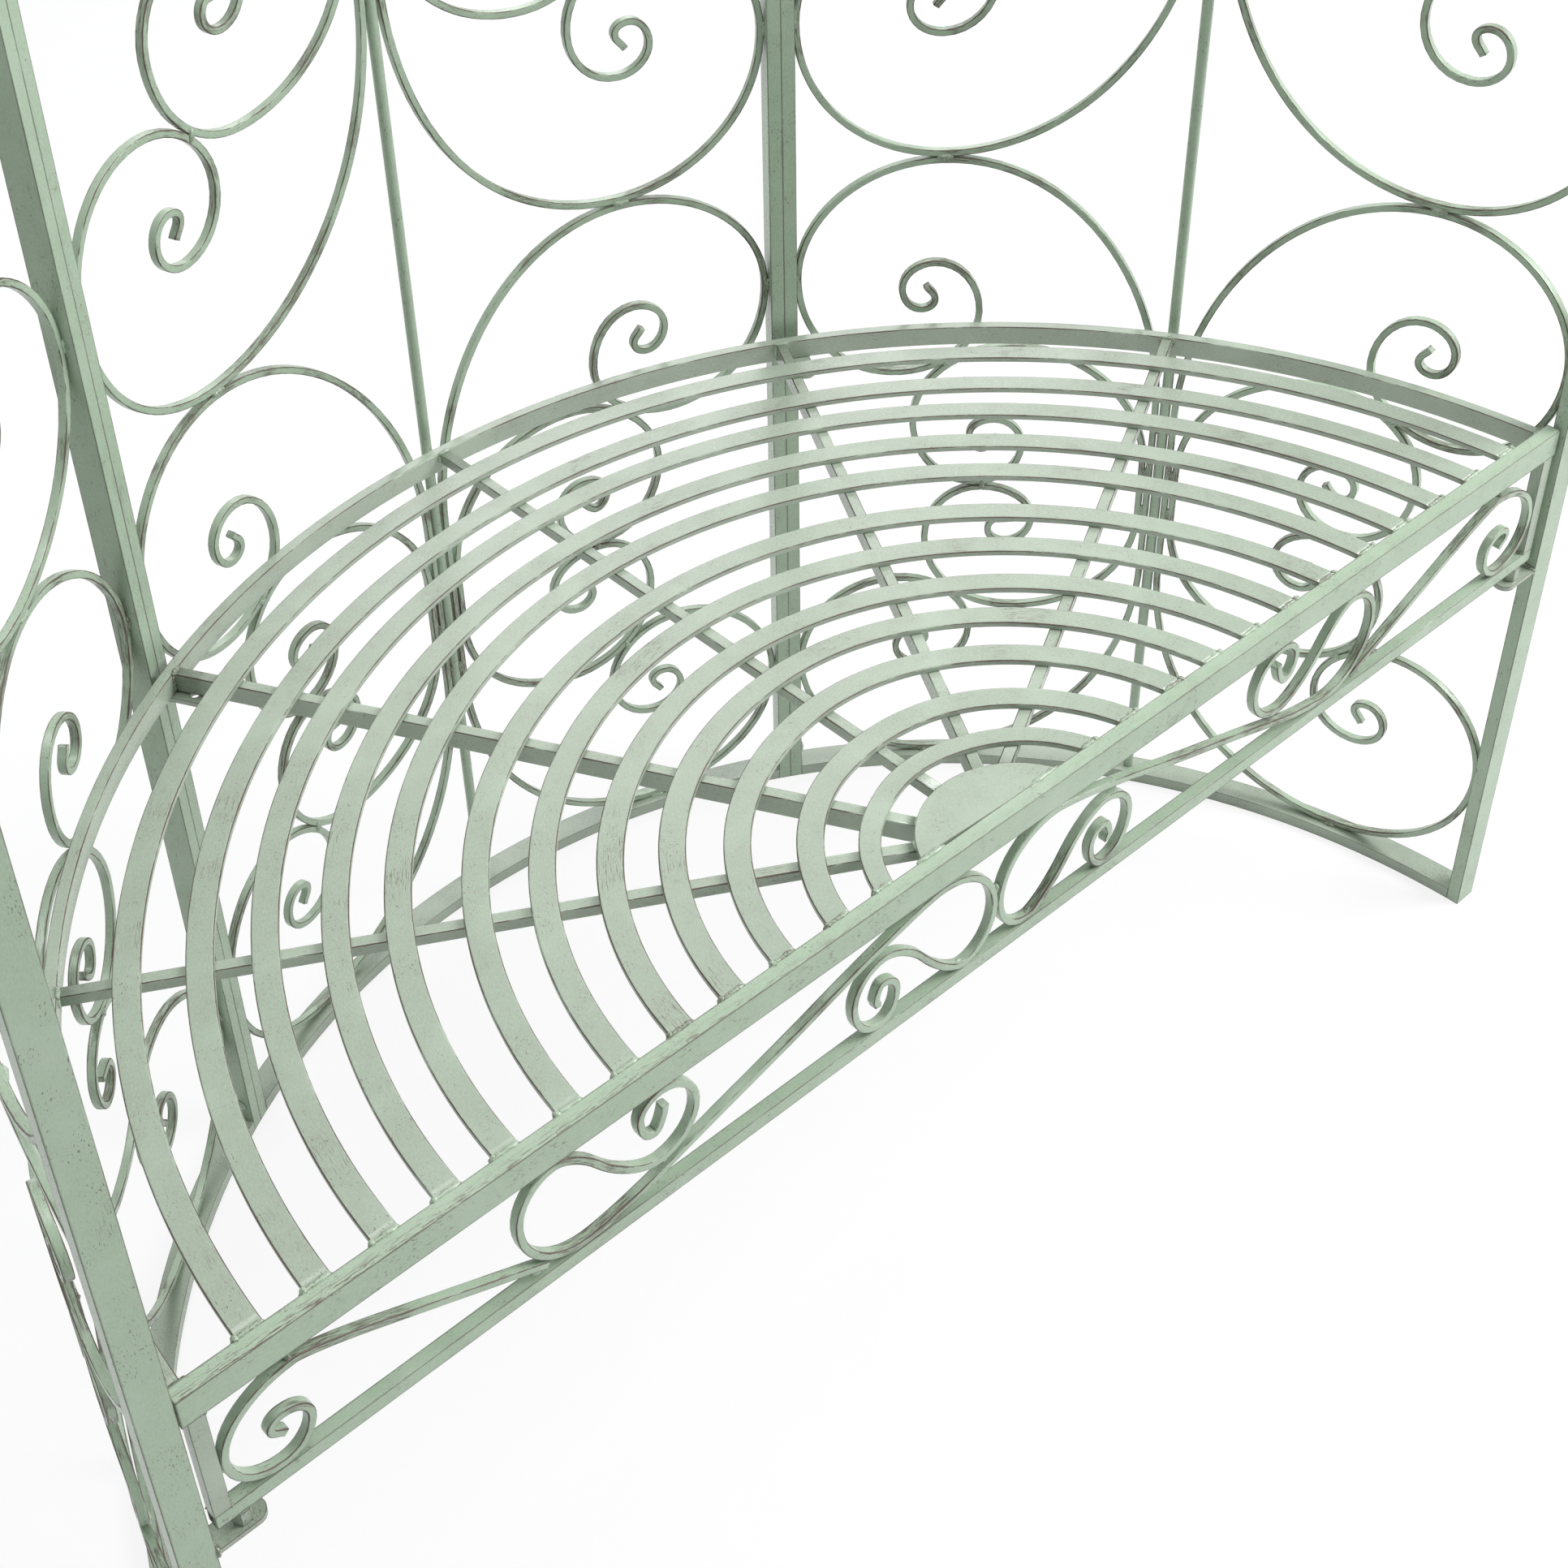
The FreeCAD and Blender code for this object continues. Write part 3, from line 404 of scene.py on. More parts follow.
seatPaint = dict(paint, sage="#9DA899", sageDeep="#939E8F", line=0.20)     # chalky from use
tubePaint = dict(paint, edge=1.8)
finishes = {
    "run": paintedSteel("sageEnamelOnFlatBar", seatPaint, "run", 0.9),
    "strip": paintedSteel("sageEnamelOnBentStrip", paint, "run", 2.2),
    "up": paintedSteel("sageEnamelOnUprightTube", dict(tubePaint, line=0.08), "up", 0.5),
    "across": paintedSteel("sageEnamelOnLevelTube", tubePaint, "across", 0.6),
    "bar": paintedSteel("sageEnamelOnHandledBar", dict(tubePaint, line=0.12, handled=0.55),
                        "across", 0.6),
    "even": paintedSteel("sageEnamelOnSmallPart", seatPaint, "even", 0.8),
    "weld": paintedSteel("sageEnamelOnWeldBead", dict(paint, edge=1.0, line=0.1), "even", 2.4),
    "plastic": mouldedPlastic("blackMouldedPolyethylene", plugs),
}
print("finishes made:", len(finishes))

# Bars: a rounded rectangle carried along a line

barMesh = {
    "cornerSteps": 3,         # faces round a corner
    "support": 0.6,           # mm, from a corner to the next point on the flat
    "cornerWear": 1.2,        # nearness to an edge in the middle of a corner
    "patternGap": 137.0,      # mm of the pattern skipped from one part to the next
}


# Rounded rectangle, anticlockwise: across, deep, nearness to an edge, and length run round it.
# Each corner is a quarter circle, with one more point on the flat at each side of it, so that
# flats stay flat. Nearness is cornerWear in the middle of a corner, falls by fall to each end of
# it, and is 0 on the flats.
def roundedProfile(width, height, corner, fall):
    support = min(barMesh["support"], (min(width, height) - 2 * corner) / 3)
    turn = np.radians(np.linspace(0, 90, barMesh["cornerSteps"] + 1))
    wear = barMesh["cornerWear"] - fall * abs(np.linspace(-1, 1, barMesh["cornerSteps"] + 1))
    across, deep, edge = [], [], []
    for quarter, (sideA, sideB) in enumerate(((1, 1), (-1, 1), (-1, -1), (1, -1))):
        angles = turn + quarter * math.pi / 2
        wayA, wayB = np.cos(angles), np.sin(angles)
        arcA = sideA * (width / 2 - corner) + corner * wayA
        arcB = sideB * (height / 2 - corner) + corner * wayB
        across.append(np.concatenate([[arcA[0] + wayB[0] * support], arcA,
                                      [arcA[-1] - wayB[-1] * support]]))
        deep.append(np.concatenate([[arcB[0] - wayA[0] * support], arcB,
                                    [arcB[-1] + wayA[-1] * support]]))
        edge.append(np.concatenate([[0.0], wear, [0.0]]))
    across, deep, edge = np.concatenate(across), np.concatenate(deep), np.concatenate(edge)
    steps = np.hypot(np.diff(np.append(across, across[0])), np.diff(np.append(deep, deep[0])))
    return across, deep, edge, np.concatenate([[0], np.cumsum(steps)])


# Quads over a grid of points, stations by profile, closed round the profile and capped at both
# ends. The marks are each corner's place on the pattern: length along the bar and round it. A
# profile that runs clockwise about the line has its faces turned round, so that all face outwards.
def gridPart(points, edge, along, run):
    stations, ring = points.shape[:2]
    index = np.arange(stations * ring).reshape(stations, ring)
    nextRing = np.roll(index, -1, axis=1)
    quads = np.stack([index[:-1], nextRing[:-1], nextRing[1:], index[1:]], axis=-1).reshape(-1, 4)
    alongA, runA = np.meshgrid(along[:-1], run[:-1], indexing="ij")
    alongB, runB = np.meshgrid(along[1:], run[1:], indexing="ij")
    marks = np.stack([np.stack([alongA, runA], -1), np.stack([alongA, runB], -1),
                      np.stack([alongB, runB], -1), np.stack([alongB, runA], -1)], axis=2)
    marks = marks.reshape(-1, 4, 2)
    caps = np.stack([index[0, ::-1], index[-1]])
    capMarks = np.stack([np.stack([np.full(ring, along[0]), run[-2::-1]], -1),
                         np.stack([np.full(ring, along[-1]), run[:-1]], -1)])
    spokes = points[0] - points[0].mean(0)
    facing = np.cross(spokes, np.roll(spokes, -1, axis=0)).sum(0)
    if (points[1, 0] - points[0, 0]) @ facing < 0:
        quads, marks, caps, capMarks = (a[:, ::-1] for a in (quads, marks, caps, capMarks))
    return {"points": points.reshape(-1, 3), "quads": quads, "caps": caps,
            "marks": np.concatenate([marks.reshape(-1, 2), capMarks.reshape(-1, 2)]),
            "edge": np.broadcast_to(edge, (stations, ring)).reshape(-1)}


# One object from several closed parts in millimetres, riding on the frame. Each part starts on
# the pattern past the end of the one before, so that no two show the same stretch.
def makePiece(name, parts, finish, replaced=()):
    start, shift, points, faces, marks, edge, smooth = 0, 0.0, [], [], [], [], []
    for part in parts:
        points.append(part["points"])
        faces += (part["quads"] + start).tolist() + (part["caps"] + start).tolist()
        smooth += [True] * len(part["quads"]) + [False, False]
        marks.append(part["marks"] + [shift, 0])
        edge.append(part["edge"])
        start += len(part["points"])
        shift += float(part["marks"][:, 0].max()) + barMesh["patternGap"]
    mesh = bpy.data.meshes.new(name)
    mesh.from_pydata((np.concatenate(points) / 1000).tolist(), [], faces)
    layer = mesh.uv_layers.new(name="run")
    layer.data.foreach_set("uv", (np.concatenate(marks) / 1000).astype(np.float32).ravel())
    field = mesh.attributes.new("edge", "FLOAT", "POINT")
    field.data.foreach_set("value", np.concatenate(edge).astype(np.float32))
    mesh.polygons.foreach_set("use_smooth", smooth)
    mesh.materials.append(finishes[finish])
    mesh.update()
    thing = bpy.data.objects.new(name, mesh)
    bpy.context.scene.collection.objects.link(thing)
    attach(thing, "root")
    if replaced:
        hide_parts(*replaced)


# Profile carried along a line: middle + across * acrossWay + deep * deepWay at each station.
def carriedBar(middle, acrossWay, deepWay, profile):
    across, deep, edge, run = profile
    acrossWay, deepWay = (np.broadcast_to(way, middle.shape) for way in (acrossWay, deepWay))
    points = (middle[:, None, :] + across[None, :, None] * acrossWay[:, None, :]
              + deep[None, :, None] * deepWay[:, None, :])
    steps = np.linalg.norm(np.diff(middle, axis=0), axis=1)
    return gridPart(points, edge, np.concatenate([[0], np.cumsum(steps)]), run)


# Scrolls

curve = {
    "roundHandle": 0.5523,    # share of the way to the corner, which makes a quarter of an ellipse
    "plainHandle": 0.4,       # share of the chord, where two headings meet in no corner
    "parallel": 0.05,         # sine of the angle under which two headings count as parallel
    "points": (8, 26),        # fewest and most for one curve
}


# Points along a scroll line, about pitch apart. Its entries are across, up and heading in degrees.
# A cubic Bezier curve joins each to the next: (1-t)^3 a + 3t(1-t)^2 b + 3t^2(1-t) c + t^3 d, whose
# handles b and c lie along the two headings, on the way to the corner where these meet.
def scrollLine(way, pitch):
    pieces = [np.array([way[0][:2]], float)]
    for (ax, ay, ah), (bx, by, bh) in zip(way, way[1:]):
        ux, uy = math.cos(math.radians(ah)), math.sin(math.radians(ah))
        wx, wy = math.cos(math.radians(bh)), math.sin(math.radians(bh))
        chord = math.hypot(bx - ax, by - ay)
        cross = ux * wy - uy * wx
        reachA = reachB = curve["plainHandle"] * chord
        if abs(cross) > curve["parallel"]:
            cornerA = ((bx - ax) * wy - (by - ay) * wx) / cross
            cornerB = ((bx - ax) * uy - (by - ay) * ux) / -cross
            if cornerA > 0 and cornerB > 0:
                reachA, reachB = curve["roundHandle"] * cornerA, curve["roundHandle"] * cornerB
        count = int(np.clip(chord / pitch, *curve["points"]))
        t = (np.arange(count) + 1)[:, None] / count
        a, b, c, d = np.array([(ax, ay), (ax + reachA * ux, ay + reachA * uy),
                               (bx - reachB * wx, by - reachB * wy), (bx, by)])
        pieces.append((1 - t) ** 3 * a + 3 * t * (1 - t) ** 2 * b
                      + 3 * t * t * (1 - t) * c + t ** 3 * d)
    return np.concatenate(pieces)


# Unit steps square to a flat line, to its left.
def leftOf(line):
    ahead = np.gradient(line, axis=0)
    ahead /= np.linalg.norm(ahead, axis=1)[:, None]
    return np.stack([-ahead[:, 1], ahead[:, 0]], 1)


panelScroll = {
    "thick": 5.0,
    "depth": 6.0,
    "corner": 0.8,
    "wearFall": 0.8,          # how fast the wear falls off from the middle of a corner
    "pitch": 7.0,             # mm from one station to the next
    "postGap": 0.2,           # mm left to the upright, and to the end of the row
    "rowGap": 0.1,
    "drawnSide": 282.25,      # drawn for this distance to the upright and to the end of the row
    "drawnEdge": 285.9,
    "outerUp": [(7.3, 0, 90), (7.3, 73, 90), (176, 285.9, 0), (282.25, 196, 270), (203, 104.5, 180),
                (144.5, 156.5, 90), (179, 200, 0), (203, 179, 270), (188, 160, 180), (178, 168, 90),
                (185, 180, 60)],
    "outerDown": [(7.3, 0, 270), (7.3, -73, 270), (172, -285.9, 0), (282.25, -176, 90),
                  (203, -98, 180), (142, -152, 270), (178, -192, 0), (202, -171, 90),
                  (187, -153, 180), (177, -160, 270), (184, -172, 300)],
    "innerUp": [(13.1, 0, 90), (13.1, 25, 90), (119, 124.7, 0), (192.7, 60, 270), (143, -1.7, 180),
                (107, 34, 90), (129, 58, 0), (148, 44, 270), (138, 30, 180), (126, 41, 120)],
    "innerDown": [(13.1, 0, 270), (13.1, -25, 270), (113, -126.8, 0), (180.7, -55, 90),
                  (137, -6.7, 180), (96, -36, 270), (117, -61, 0), (130, -49, 90),
                  (123, -39, 180), (110, -38, 180)],
}
halfPanel = math.radians(arbour["panelAngle"] / 2)
postSide = (midRadius * halfPanel - arbour["postWidth"] - panelScroll["thick"] / 2
            - panelScroll["postGap"])
rowEdge = arbour["rowHeight"] / 2 - panelScroll["thick"] / 2 - panelScroll["rowGap"]
waists = [arbour["railHeight"] + (row + 0.5) * arbour["rowHeight"] for row in range(arbour["rows"])]
panelMiddles = {panel: frontAngle + (number + 0.5) * arbour["panelAngle"]    # degrees from X
                for number, panel in enumerate(("right", "back", "left"))}


# A scroll line stretched from the drawn panel to this one, in its flat plane: across and up from
# the waist of its row. Its lane beside the middle rod stays where it is.
def panelLine(kind, look):
    lane = look[kind][0][0]
    widen = (postSide - lane) / (look["drawnSide"] - lane)
    drawn = scrollLine(look[kind], look["pitch"])
    return np.stack([lane + (drawn[:, 0] - lane) * widen,
                     drawn[:, 1] * rowEdge / look["drawnEdge"]], 1)


# A spot of the flat panel on its cylinder: across runs round the circle, and the radius is from
# the circle's centre to the spot.
def onPanel(middleAngle, across, up, radius):
    angle = math.radians(middleAngle) - across / midRadius
    return np.stack([radius * np.cos(angle), circleY + radius * np.sin(angle),
                     np.broadcast_to(up, np.shape(angle))], -1)


# Strips bent in the panel's cylinder: the flat line laid on it, the strip's depth along the
# radius, and its thickness along the flat line's left, which is bent with it.
def panelScrollParts(middleAngle, kind, look):
    line = np.concatenate([panelLine(kind + "Down", look)[::-1], panelLine(kind + "Up", look)[1:]])
    profile = roundedProfile(look["thick"], look["depth"], look["corner"], look["wearFall"])
    parts = []
    for waist in waists:
        for hand in (-1, 1):
            flat = line * [hand, 1]
            left = leftOf(flat)
            middle = onPanel(middleAngle, flat[:, 0], flat[:, 1] + waist, midRadius)
            angle = math.radians(middleAngle) - flat[:, 0] / midRadius
            outward = np.stack([np.cos(angle), np.sin(angle), np.zeros(len(flat))], 1)
            around = np.stack([np.sin(angle), -np.cos(angle), np.zeros(len(flat))], 1)
            thickWay = around * left[:, :1] + left[:, 1:] * [0, 0, 1]
            parts.append(carriedBar(middle, thickWay, outward, profile))
    return parts


for panel, middleAngle in panelMiddles.items():
    for kind in ("outer", "inner"):
        makePiece("%sPanel%sScrolls" % (panel, kind.title()),
                  panelScrollParts(middleAngle, kind, panelScroll), "strip",
                  ["%s_panel_%s_scrolls" % (panel, kind)])
print("panel scrolls bent")

# mm from the bar down to a strip's middle, where it touches the bar and where it lies on the rail
apronTop, apronLow = 2.6, 77.4
apronScroll = {
    "thick": 5.0,
    "depth": 6.0,
    "corner": 0.8,
    "wearFall": 0.8,
    "pitch": 5.0,
    "reach": 544.0,           # from the middle to the end bar
    "drawnLength": 544.0,     # drawn for this reach and drop
    "drawnDrop": 80.0,
    "corners": [(344, 74, 25), (447, 26, 25), (494, 8, 0), (541, 46, -90), (512, apronLow, 180),
                (492, 55, 90), (507, 41, 0), (515, 47, -90), (507.5, 55.6, -130)],
    "waves": [(258.4, 15.6, -80), (266, 32, -10), (276, 16, 90), (260, apronTop, 180),
              (237, 28, 270), (265, 56, 0), (306, 23.7, 56), (333, apronTop, 0), (359, 33, 270),
              (317, apronLow, 180), (260, 65.5, 161), (140, 27.3, 161), (48, apronTop, 180),
              (apronTop, 46, 270), (28, apronLow, 0), (62, 47.6, 56), (94, 24.2, 0), (118, 49, 270),
              (97, apronLow, 180), (83.5, 57.5, 90), (95, 44.8, 0), (100.4, 54.6, 280),
              (99, 61, 285)],
}


# A strip bent in the upright plane under the front bar; its entries count down from the bar.
def apronPart(kind, hand, look):
    line = scrollLine([(x, -down, heading) for x, down, heading in look[kind]], look["pitch"])
    line = line * [hand * look["reach"] / look["drawnLength"],
                   arbour["apronDrop"] / look["drawnDrop"]]
    left = leftOf(line)
    flat = np.zeros(len(line))
    middle = np.stack([line[:, 0], flat + barFront + look["depth"] / 2, barBottom + line[:, 1]], 1)
    profile = roundedProfile(look["thick"], look["depth"], look["corner"], look["wearFall"])
    return carriedBar(middle, np.stack([left[:, 0], flat, left[:, 1]], 1), [0, 1, 0], profile)


for side, hand in (("left", -1), ("right", 1)):
    makePiece(side + "ApronCornerScroll", [apronPart("corners", hand, apronScroll)], "strip",
              ["apron_%s_corner_scroll" % side])
    makePiece(side + "ApronWaveScroll", [apronPart("waves", hand, apronScroll)], "strip",
              ["apron_%s_wave_scroll" % side])
print("apron scrolls bent")

# Seat: curved slats, rim and the bars under them

seat = {
    # outer radius of each slat, and how far its centre lies in front of the front plane
    "slats": [(518, 17), (479, 19.5), (438, 10), (400, 11.5), (363, 9), (322.5, 16.5),
              (284, 15), (246.5, 17.5), (209.5, 14.5), (173, 15.5), (133.5, 18.5), (98.5, 19.5)],
    "slatWidth": 16.0,
    "innerSlatWidth": 13.0,
    "wobble": 1.2,            # mm, how far a hand-bent slat strays from its circle
    "rim": (556.0, 15.0, 8.0, 15.0),     # outer radius, centre in front, thickness, height
    # heading of each bar in degrees, its start across and behind the front plane, and its height
    "bars": [(28.3, 0, 17.6, 8), (60.5, 0, 0.6, 14), (90, -3, 0, 8), (119.9, 0, -15, 14),
             (150.1, 0, 0, 8)],
    "barWidth": 8.0,
    "barLap": 5.5,            # how far a bar runs under the plate
    "barStations": 12,
    "plateRadius": 61.5,
    "plateCentre": 12.0,      # in front of the front plane
    "corner": 0.9,
    "ringStep": 2.2,          # mm of radius for one more station round a slat
    "ringStations": (60, 220),
    "lowerWear": 0.4,         # share of the edge wear that the lower corners get
    "wearFall": 1.25,         # how fast the wear falls off from the middle of a corner
}
rimOuter, rimForward, rimThick, rimHeight = seat["rim"]
rimMiddle = np.array([0, arbour["frontPlane"] - rimForward])
plateMiddle = np.array([0, arbour["frontPlane"] - seat["plateCentre"]])


# The profile of a level bar, whose lower corners are rubbed less than the upper ones: nearness
# times lowerWear below the middle.
def levelProfile(width, height):
    across, deep, edge, run = roundedProfile(width, height, seat["corner"], seat["wearFall"])
    return across, deep, edge * np.where(deep < 0, seat["lowerWear"], 1.0), run


# A flat bar bent to half a circle behind the front bar: each line of its profile runs from the
# bar's back face round to it again. A slow hand-bent wobble of two and five half waves, which
# fades towards both ends, is added to its radius.
def halfRing(outer, width, height, top, forward, wobble=0.0, seed=0):
    across, deep, edge, run = levelProfile(width, height)
    share = np.linspace(0, 1, int(np.clip(outer / seat["ringStep"], *seat["ringStations"])))
    radius = outer - width / 2 + across
    centre = arbour["frontPlane"] - forward
    start = np.arcsin((barBack - centre) / radius)
    angle = start[None, :] + share[:, None] * (math.pi - 2 * start[None, :])
    phase = np.random.default_rng(seed).uniform(0, 2 * math.pi, 2)
    sway = wobble * np.sin(math.pi * share) * (0.6 * np.sin(2 * math.pi * share + phase[0])
                                               + 0.4 * np.sin(5 * math.pi * share + phase[1]))
    bent = radius[None, :] + sway[:, None]
    points = np.stack([bent * np.cos(angle), centre + bent * np.sin(angle),
                       np.broadcast_to(top - height / 2 + deep, bent.shape)], -1)
    points[..., 1] = np.maximum(points[..., 1], barBack)
    return gridPart(points, edge, share * math.pi * outer, run)


# The innermost slat is narrower than the others.
def slatWidth(number):
    return seat["innerSlatWidth"] if number == len(seat["slats"]) else seat["slatWidth"]


for number, (radius, forward) in enumerate(seat["slats"], 1):
    part = halfRing(radius, slatWidth(number), arbour["slatThick"], arbour["seatTop"], forward,
                    seat["wobble"], number)
    makePiece("seatSlat%02d" % number, [part], "run", ["seat_slat_%02d" % number])
makePiece("seatRim", [halfRing(rimOuter, rimThick, rimHeight, slatFloor, rimForward)], "run",
          ["seat_rim"])


# The spot where a ray leaves a circle on plan: start + way * along, from the quadratic equation.
def circleCrossing(start, way, centre, radius):
    offset = start[:2] - centre
    along = offset @ way[:2]
    return start + way * (-along + math.sqrt(along * along - offset @ offset + radius * radius))


# The bars under the slats: number, start on the slats' lower plane, unit way on plan, and height.
def supportBars():
    for number, (turn, across, back, height) in enumerate(seat["bars"], 1):
        way = np.array([math.cos(math.radians(turn)), math.sin(math.radians(turn)), 0.0])
        yield number, np.array([across, arbour["frontPlane"] + back, slatFloor]), way, height


for number, start, way, height in supportBars():
    near = circleCrossing(start, way, plateMiddle, seat["plateRadius"] - seat["barLap"])
    far = circleCrossing(start, way, rimMiddle, rimOuter - rimThick)
    middle = np.linspace(near, far, seat["barStations"]) - [0, 0, height / 2]
    bar = carriedBar(middle, [-way[1], way[0], 0], [0, 0, 1],
                     levelProfile(seat["barWidth"], height))
    makePiece("seatSupportBar%d" % number, [bar], "run", ["seat_support_bar_%d" % number])
print("seat bars bent")

# Weld metal: lumpy beads along the joints

weld = {
    "thick": 3.4,             # mm across a bead
    "blob": 4.6,              # mm across a tack
    "ripple": 2.4,            # mm from one ripple to the next
    "lumps": (0.9, 0.55),     # radians per mm of the two waves that make its lumps
    "rippleShare": 0.4,       # share of the ripples in its unevenness, the rest is lumps
    "lumpy": 0.2,             # share of its thickness that comes and goes
    "blunt": 80,              # degrees of the sine on which its stations crowd towards the ends
    "stations": (7, 14),      # fewest and most
    "perMm": 1.4,             # stations for each mm of half its length
    "round": 8,               # points round it
    "seedStep": 97,           # turns a bead's place into the seed of its own unevenness
    "closeBy": 9.0,           # mm between the middles of two strips that are tacked together
    "short": 1.0,             # mm that a bead stops short of the end of its joint
}


# A closed blunt sausage from start to end: radius = half thickness * (1 - |share|^3)^0.5, times
# 1 + lumpy * (ripples and lumps), where share is -1 at its start and 1 at its end.
def weldBead(start, end, thick):
    start, end = np.array(start, float), np.array(end, float)
    length = np.linalg.norm(end - start)
    ahead = (end - start) / length
    level = np.cross(ahead, [0.0, 0.0, 1.0] if abs(ahead[2]) < 0.9 else [0.0, 1.0, 0.0])
    level /= np.linalg.norm(level)
    square = np.cross(level, ahead)
    reach = (length + thick) / 2
    stations = int(np.clip(reach * weld["perMm"], *weld["stations"]))
    share = np.sin(np.radians(np.linspace(-weld["blunt"], weld["blunt"], stations)))
    turn = np.radians(np.linspace(0, 360, weld["round"], endpoint=False))
    seed = int(abs(start.sum()) * weld["seedStep"])
    phase = np.random.default_rng(seed).uniform(0, 2 * math.pi, 3)
    along = share * reach
    ripples = np.sin(2 * math.pi * along / weld["ripple"] + phase[0])[:, None]
    lumps = (np.sin(weld["lumps"][0] * along[:, None] + 2 * turn[None, :] + phase[1])
             + np.sin(weld["lumps"][1] * along + phase[2])[:, None])
    uneven = weld["rippleShare"] * ripples + (1 - weld["rippleShare"]) * lumps
    radius = thick / 2 * np.sqrt(1 - np.abs(share) ** 3)[:, None] * (1 + weld["lumpy"] * uneven)
    middle = (start + end) / 2 + along[:, None] * ahead
    spokes = np.cos(turn)[:, None] * level + np.sin(turn)[:, None] * square
    return gridPart(middle[:, None, :] + radius[..., None] * spokes, np.zeros(weld["round"]),
                    along - along[0], np.linspace(0, math.pi * thick, weld["round"] + 1))


# Half the chord that the front bar's back face cuts off a circle of the seat, and its distance
# from the centre.
def halfChord(radius, forward):
    drop = barBack - arbour["frontPlane"] + forward
    return math.sqrt(radius ** 2 - drop ** 2), drop


# A spot by the front bar: across, mm behind its back face, and mm below the seat's top.
def atBar(across, behind, below):
    return across, barBack + behind, arbour["seatTop"] - below


# Beads across every slat end and rim end, up both sides of each support bar, and round the
# plate's ends.
def seatWelds():
    thick, blob, short = weld["thick"], weld["blob"], weld["short"]
    parts = []
    for number, (radius, forward) in enumerate(seat["slats"], 1):
        half = slatWidth(number) / 2
        x, drop = halfChord(radius - half, forward)
        slant = drop / x * 2
        for hand in (-1, 1):
            parts.append(weldBead(atBar(hand * (x - half + short), 0.8, 0.6),
                                  atBar(hand * (x + half - short), 0.8, 0.6), thick))
            parts.append(weldBead(atBar(hand * (x + half - slant), 1.2, 0.8),
                                  atBar(hand * (x + half + 0.5), 0.6, 2.4), blob))
    x = halfChord(rimOuter - rimThick / 2, rimForward)[0]
    rimTop = arbour["slatThick"]
    for hand in (-1, 1):
        parts.append(weldBead(atBar(hand * (x - 6), 0.8, rimTop),
                              atBar(hand * (x + 4), 0.8, rimTop), blob))
        parts.append(weldBead(atBar(hand * (x - 4.4), 0.6, rimTop + 3),
                              atBar(hand * (x - 4.4), 0.6, rimTop + rimHeight - 2), thick))
    x = halfChord(seat["plateRadius"], seat["plateCentre"])[0]
    parts.append(weldBead(atBar(-x - 2, 0.5, 0.4), atBar(-x + 17, 0.4, 0.4), thick + 0.4))
    parts.append(weldBead(atBar(x - 20, 0.3, 0.6), atBar(x + 1, 0.5, 0.6), thick))
    for number, start, way, height in supportBars():
        side = np.array([-way[1], way[0], 0.0]) * seat["barWidth"] / 2
        rim = circleCrossing(start, way, rimMiddle, rimOuter - rimThick)
        for hand in (-1, 1):
            parts.append(weldBead(rim + hand * side - [0, 0, 1.5],
                                  rim + hand * side - [0, 0, height - 1.5], thick))
        parts.append(weldBead(rim - side * 0.8 - way * 0.6, rim + side * 0.8 - way * 0.6, thick))
        disc = circleCrossing(start, way, plateMiddle, seat["plateRadius"]) + [0, 0, 0.4]
        parts.append(weldBead(disc - side * 0.7, disc + side * 0.7, thick - 0.4))
    return parts


apronJoints = {
    # tacks between scrolls and bars: across from the middle and height, of both their ends
    "tacks": [(-497, 431, -497, 438), (-543, 388, -543, 392), (-512, 358, -508, 358),
              (-353, 365, -349, 364), (-322, 361, -318, 361), (-261, 380, -259, 384),
              (-54, 443, -50, 443), (-103, 421, -101, 426), (-33, 364, -29, 364), (0, 400, 0, 406)],
    "endWidth": 10.0,         # of the end bars
    "endDepth": 8.0,
    "endSink": 0.2,           # mm that the middle of the bead behind an end bar lies inside it
}


# Tacks where the apron's scrolls meet the bars and each other, and beads at the feet and heads of
# the end bars, one beside each and one behind.
def apronWelds(look):
    middleY, short, parts = barFront + apronScroll["depth"] / 2, weld["short"], []
    for ax, az, bx, bz in look["tacks"]:
        for hand in ((-1, 1) if ax else (1,)):
            parts.append(weldBead((hand * ax, middleY, az), (hand * bx, middleY, bz), weld["blob"]))
    side, width, depth = apronScroll["reach"], look["endWidth"], look["endDepth"]
    behind = barFront + (depth - look["endSink"])
    for hand in (-1, 1):
        for z in (barBottom - arbour["apronDrop"], barBottom):
            parts.append(weldBead((hand * side, barFront + short, z),
                                  (hand * side, barFront + (depth - short), z), weld["thick"]))
            parts.append(weldBead((hand * (side + short), behind, z),
                                  (hand * (side + width - short), behind, z), weld["thick"]))
    return parts


tabJoints = {
    "sink": 0.6,              # mm that a bead's middle lies inside the post or the tab's end
    "length": 14,             # mm of the bead along a back post
}


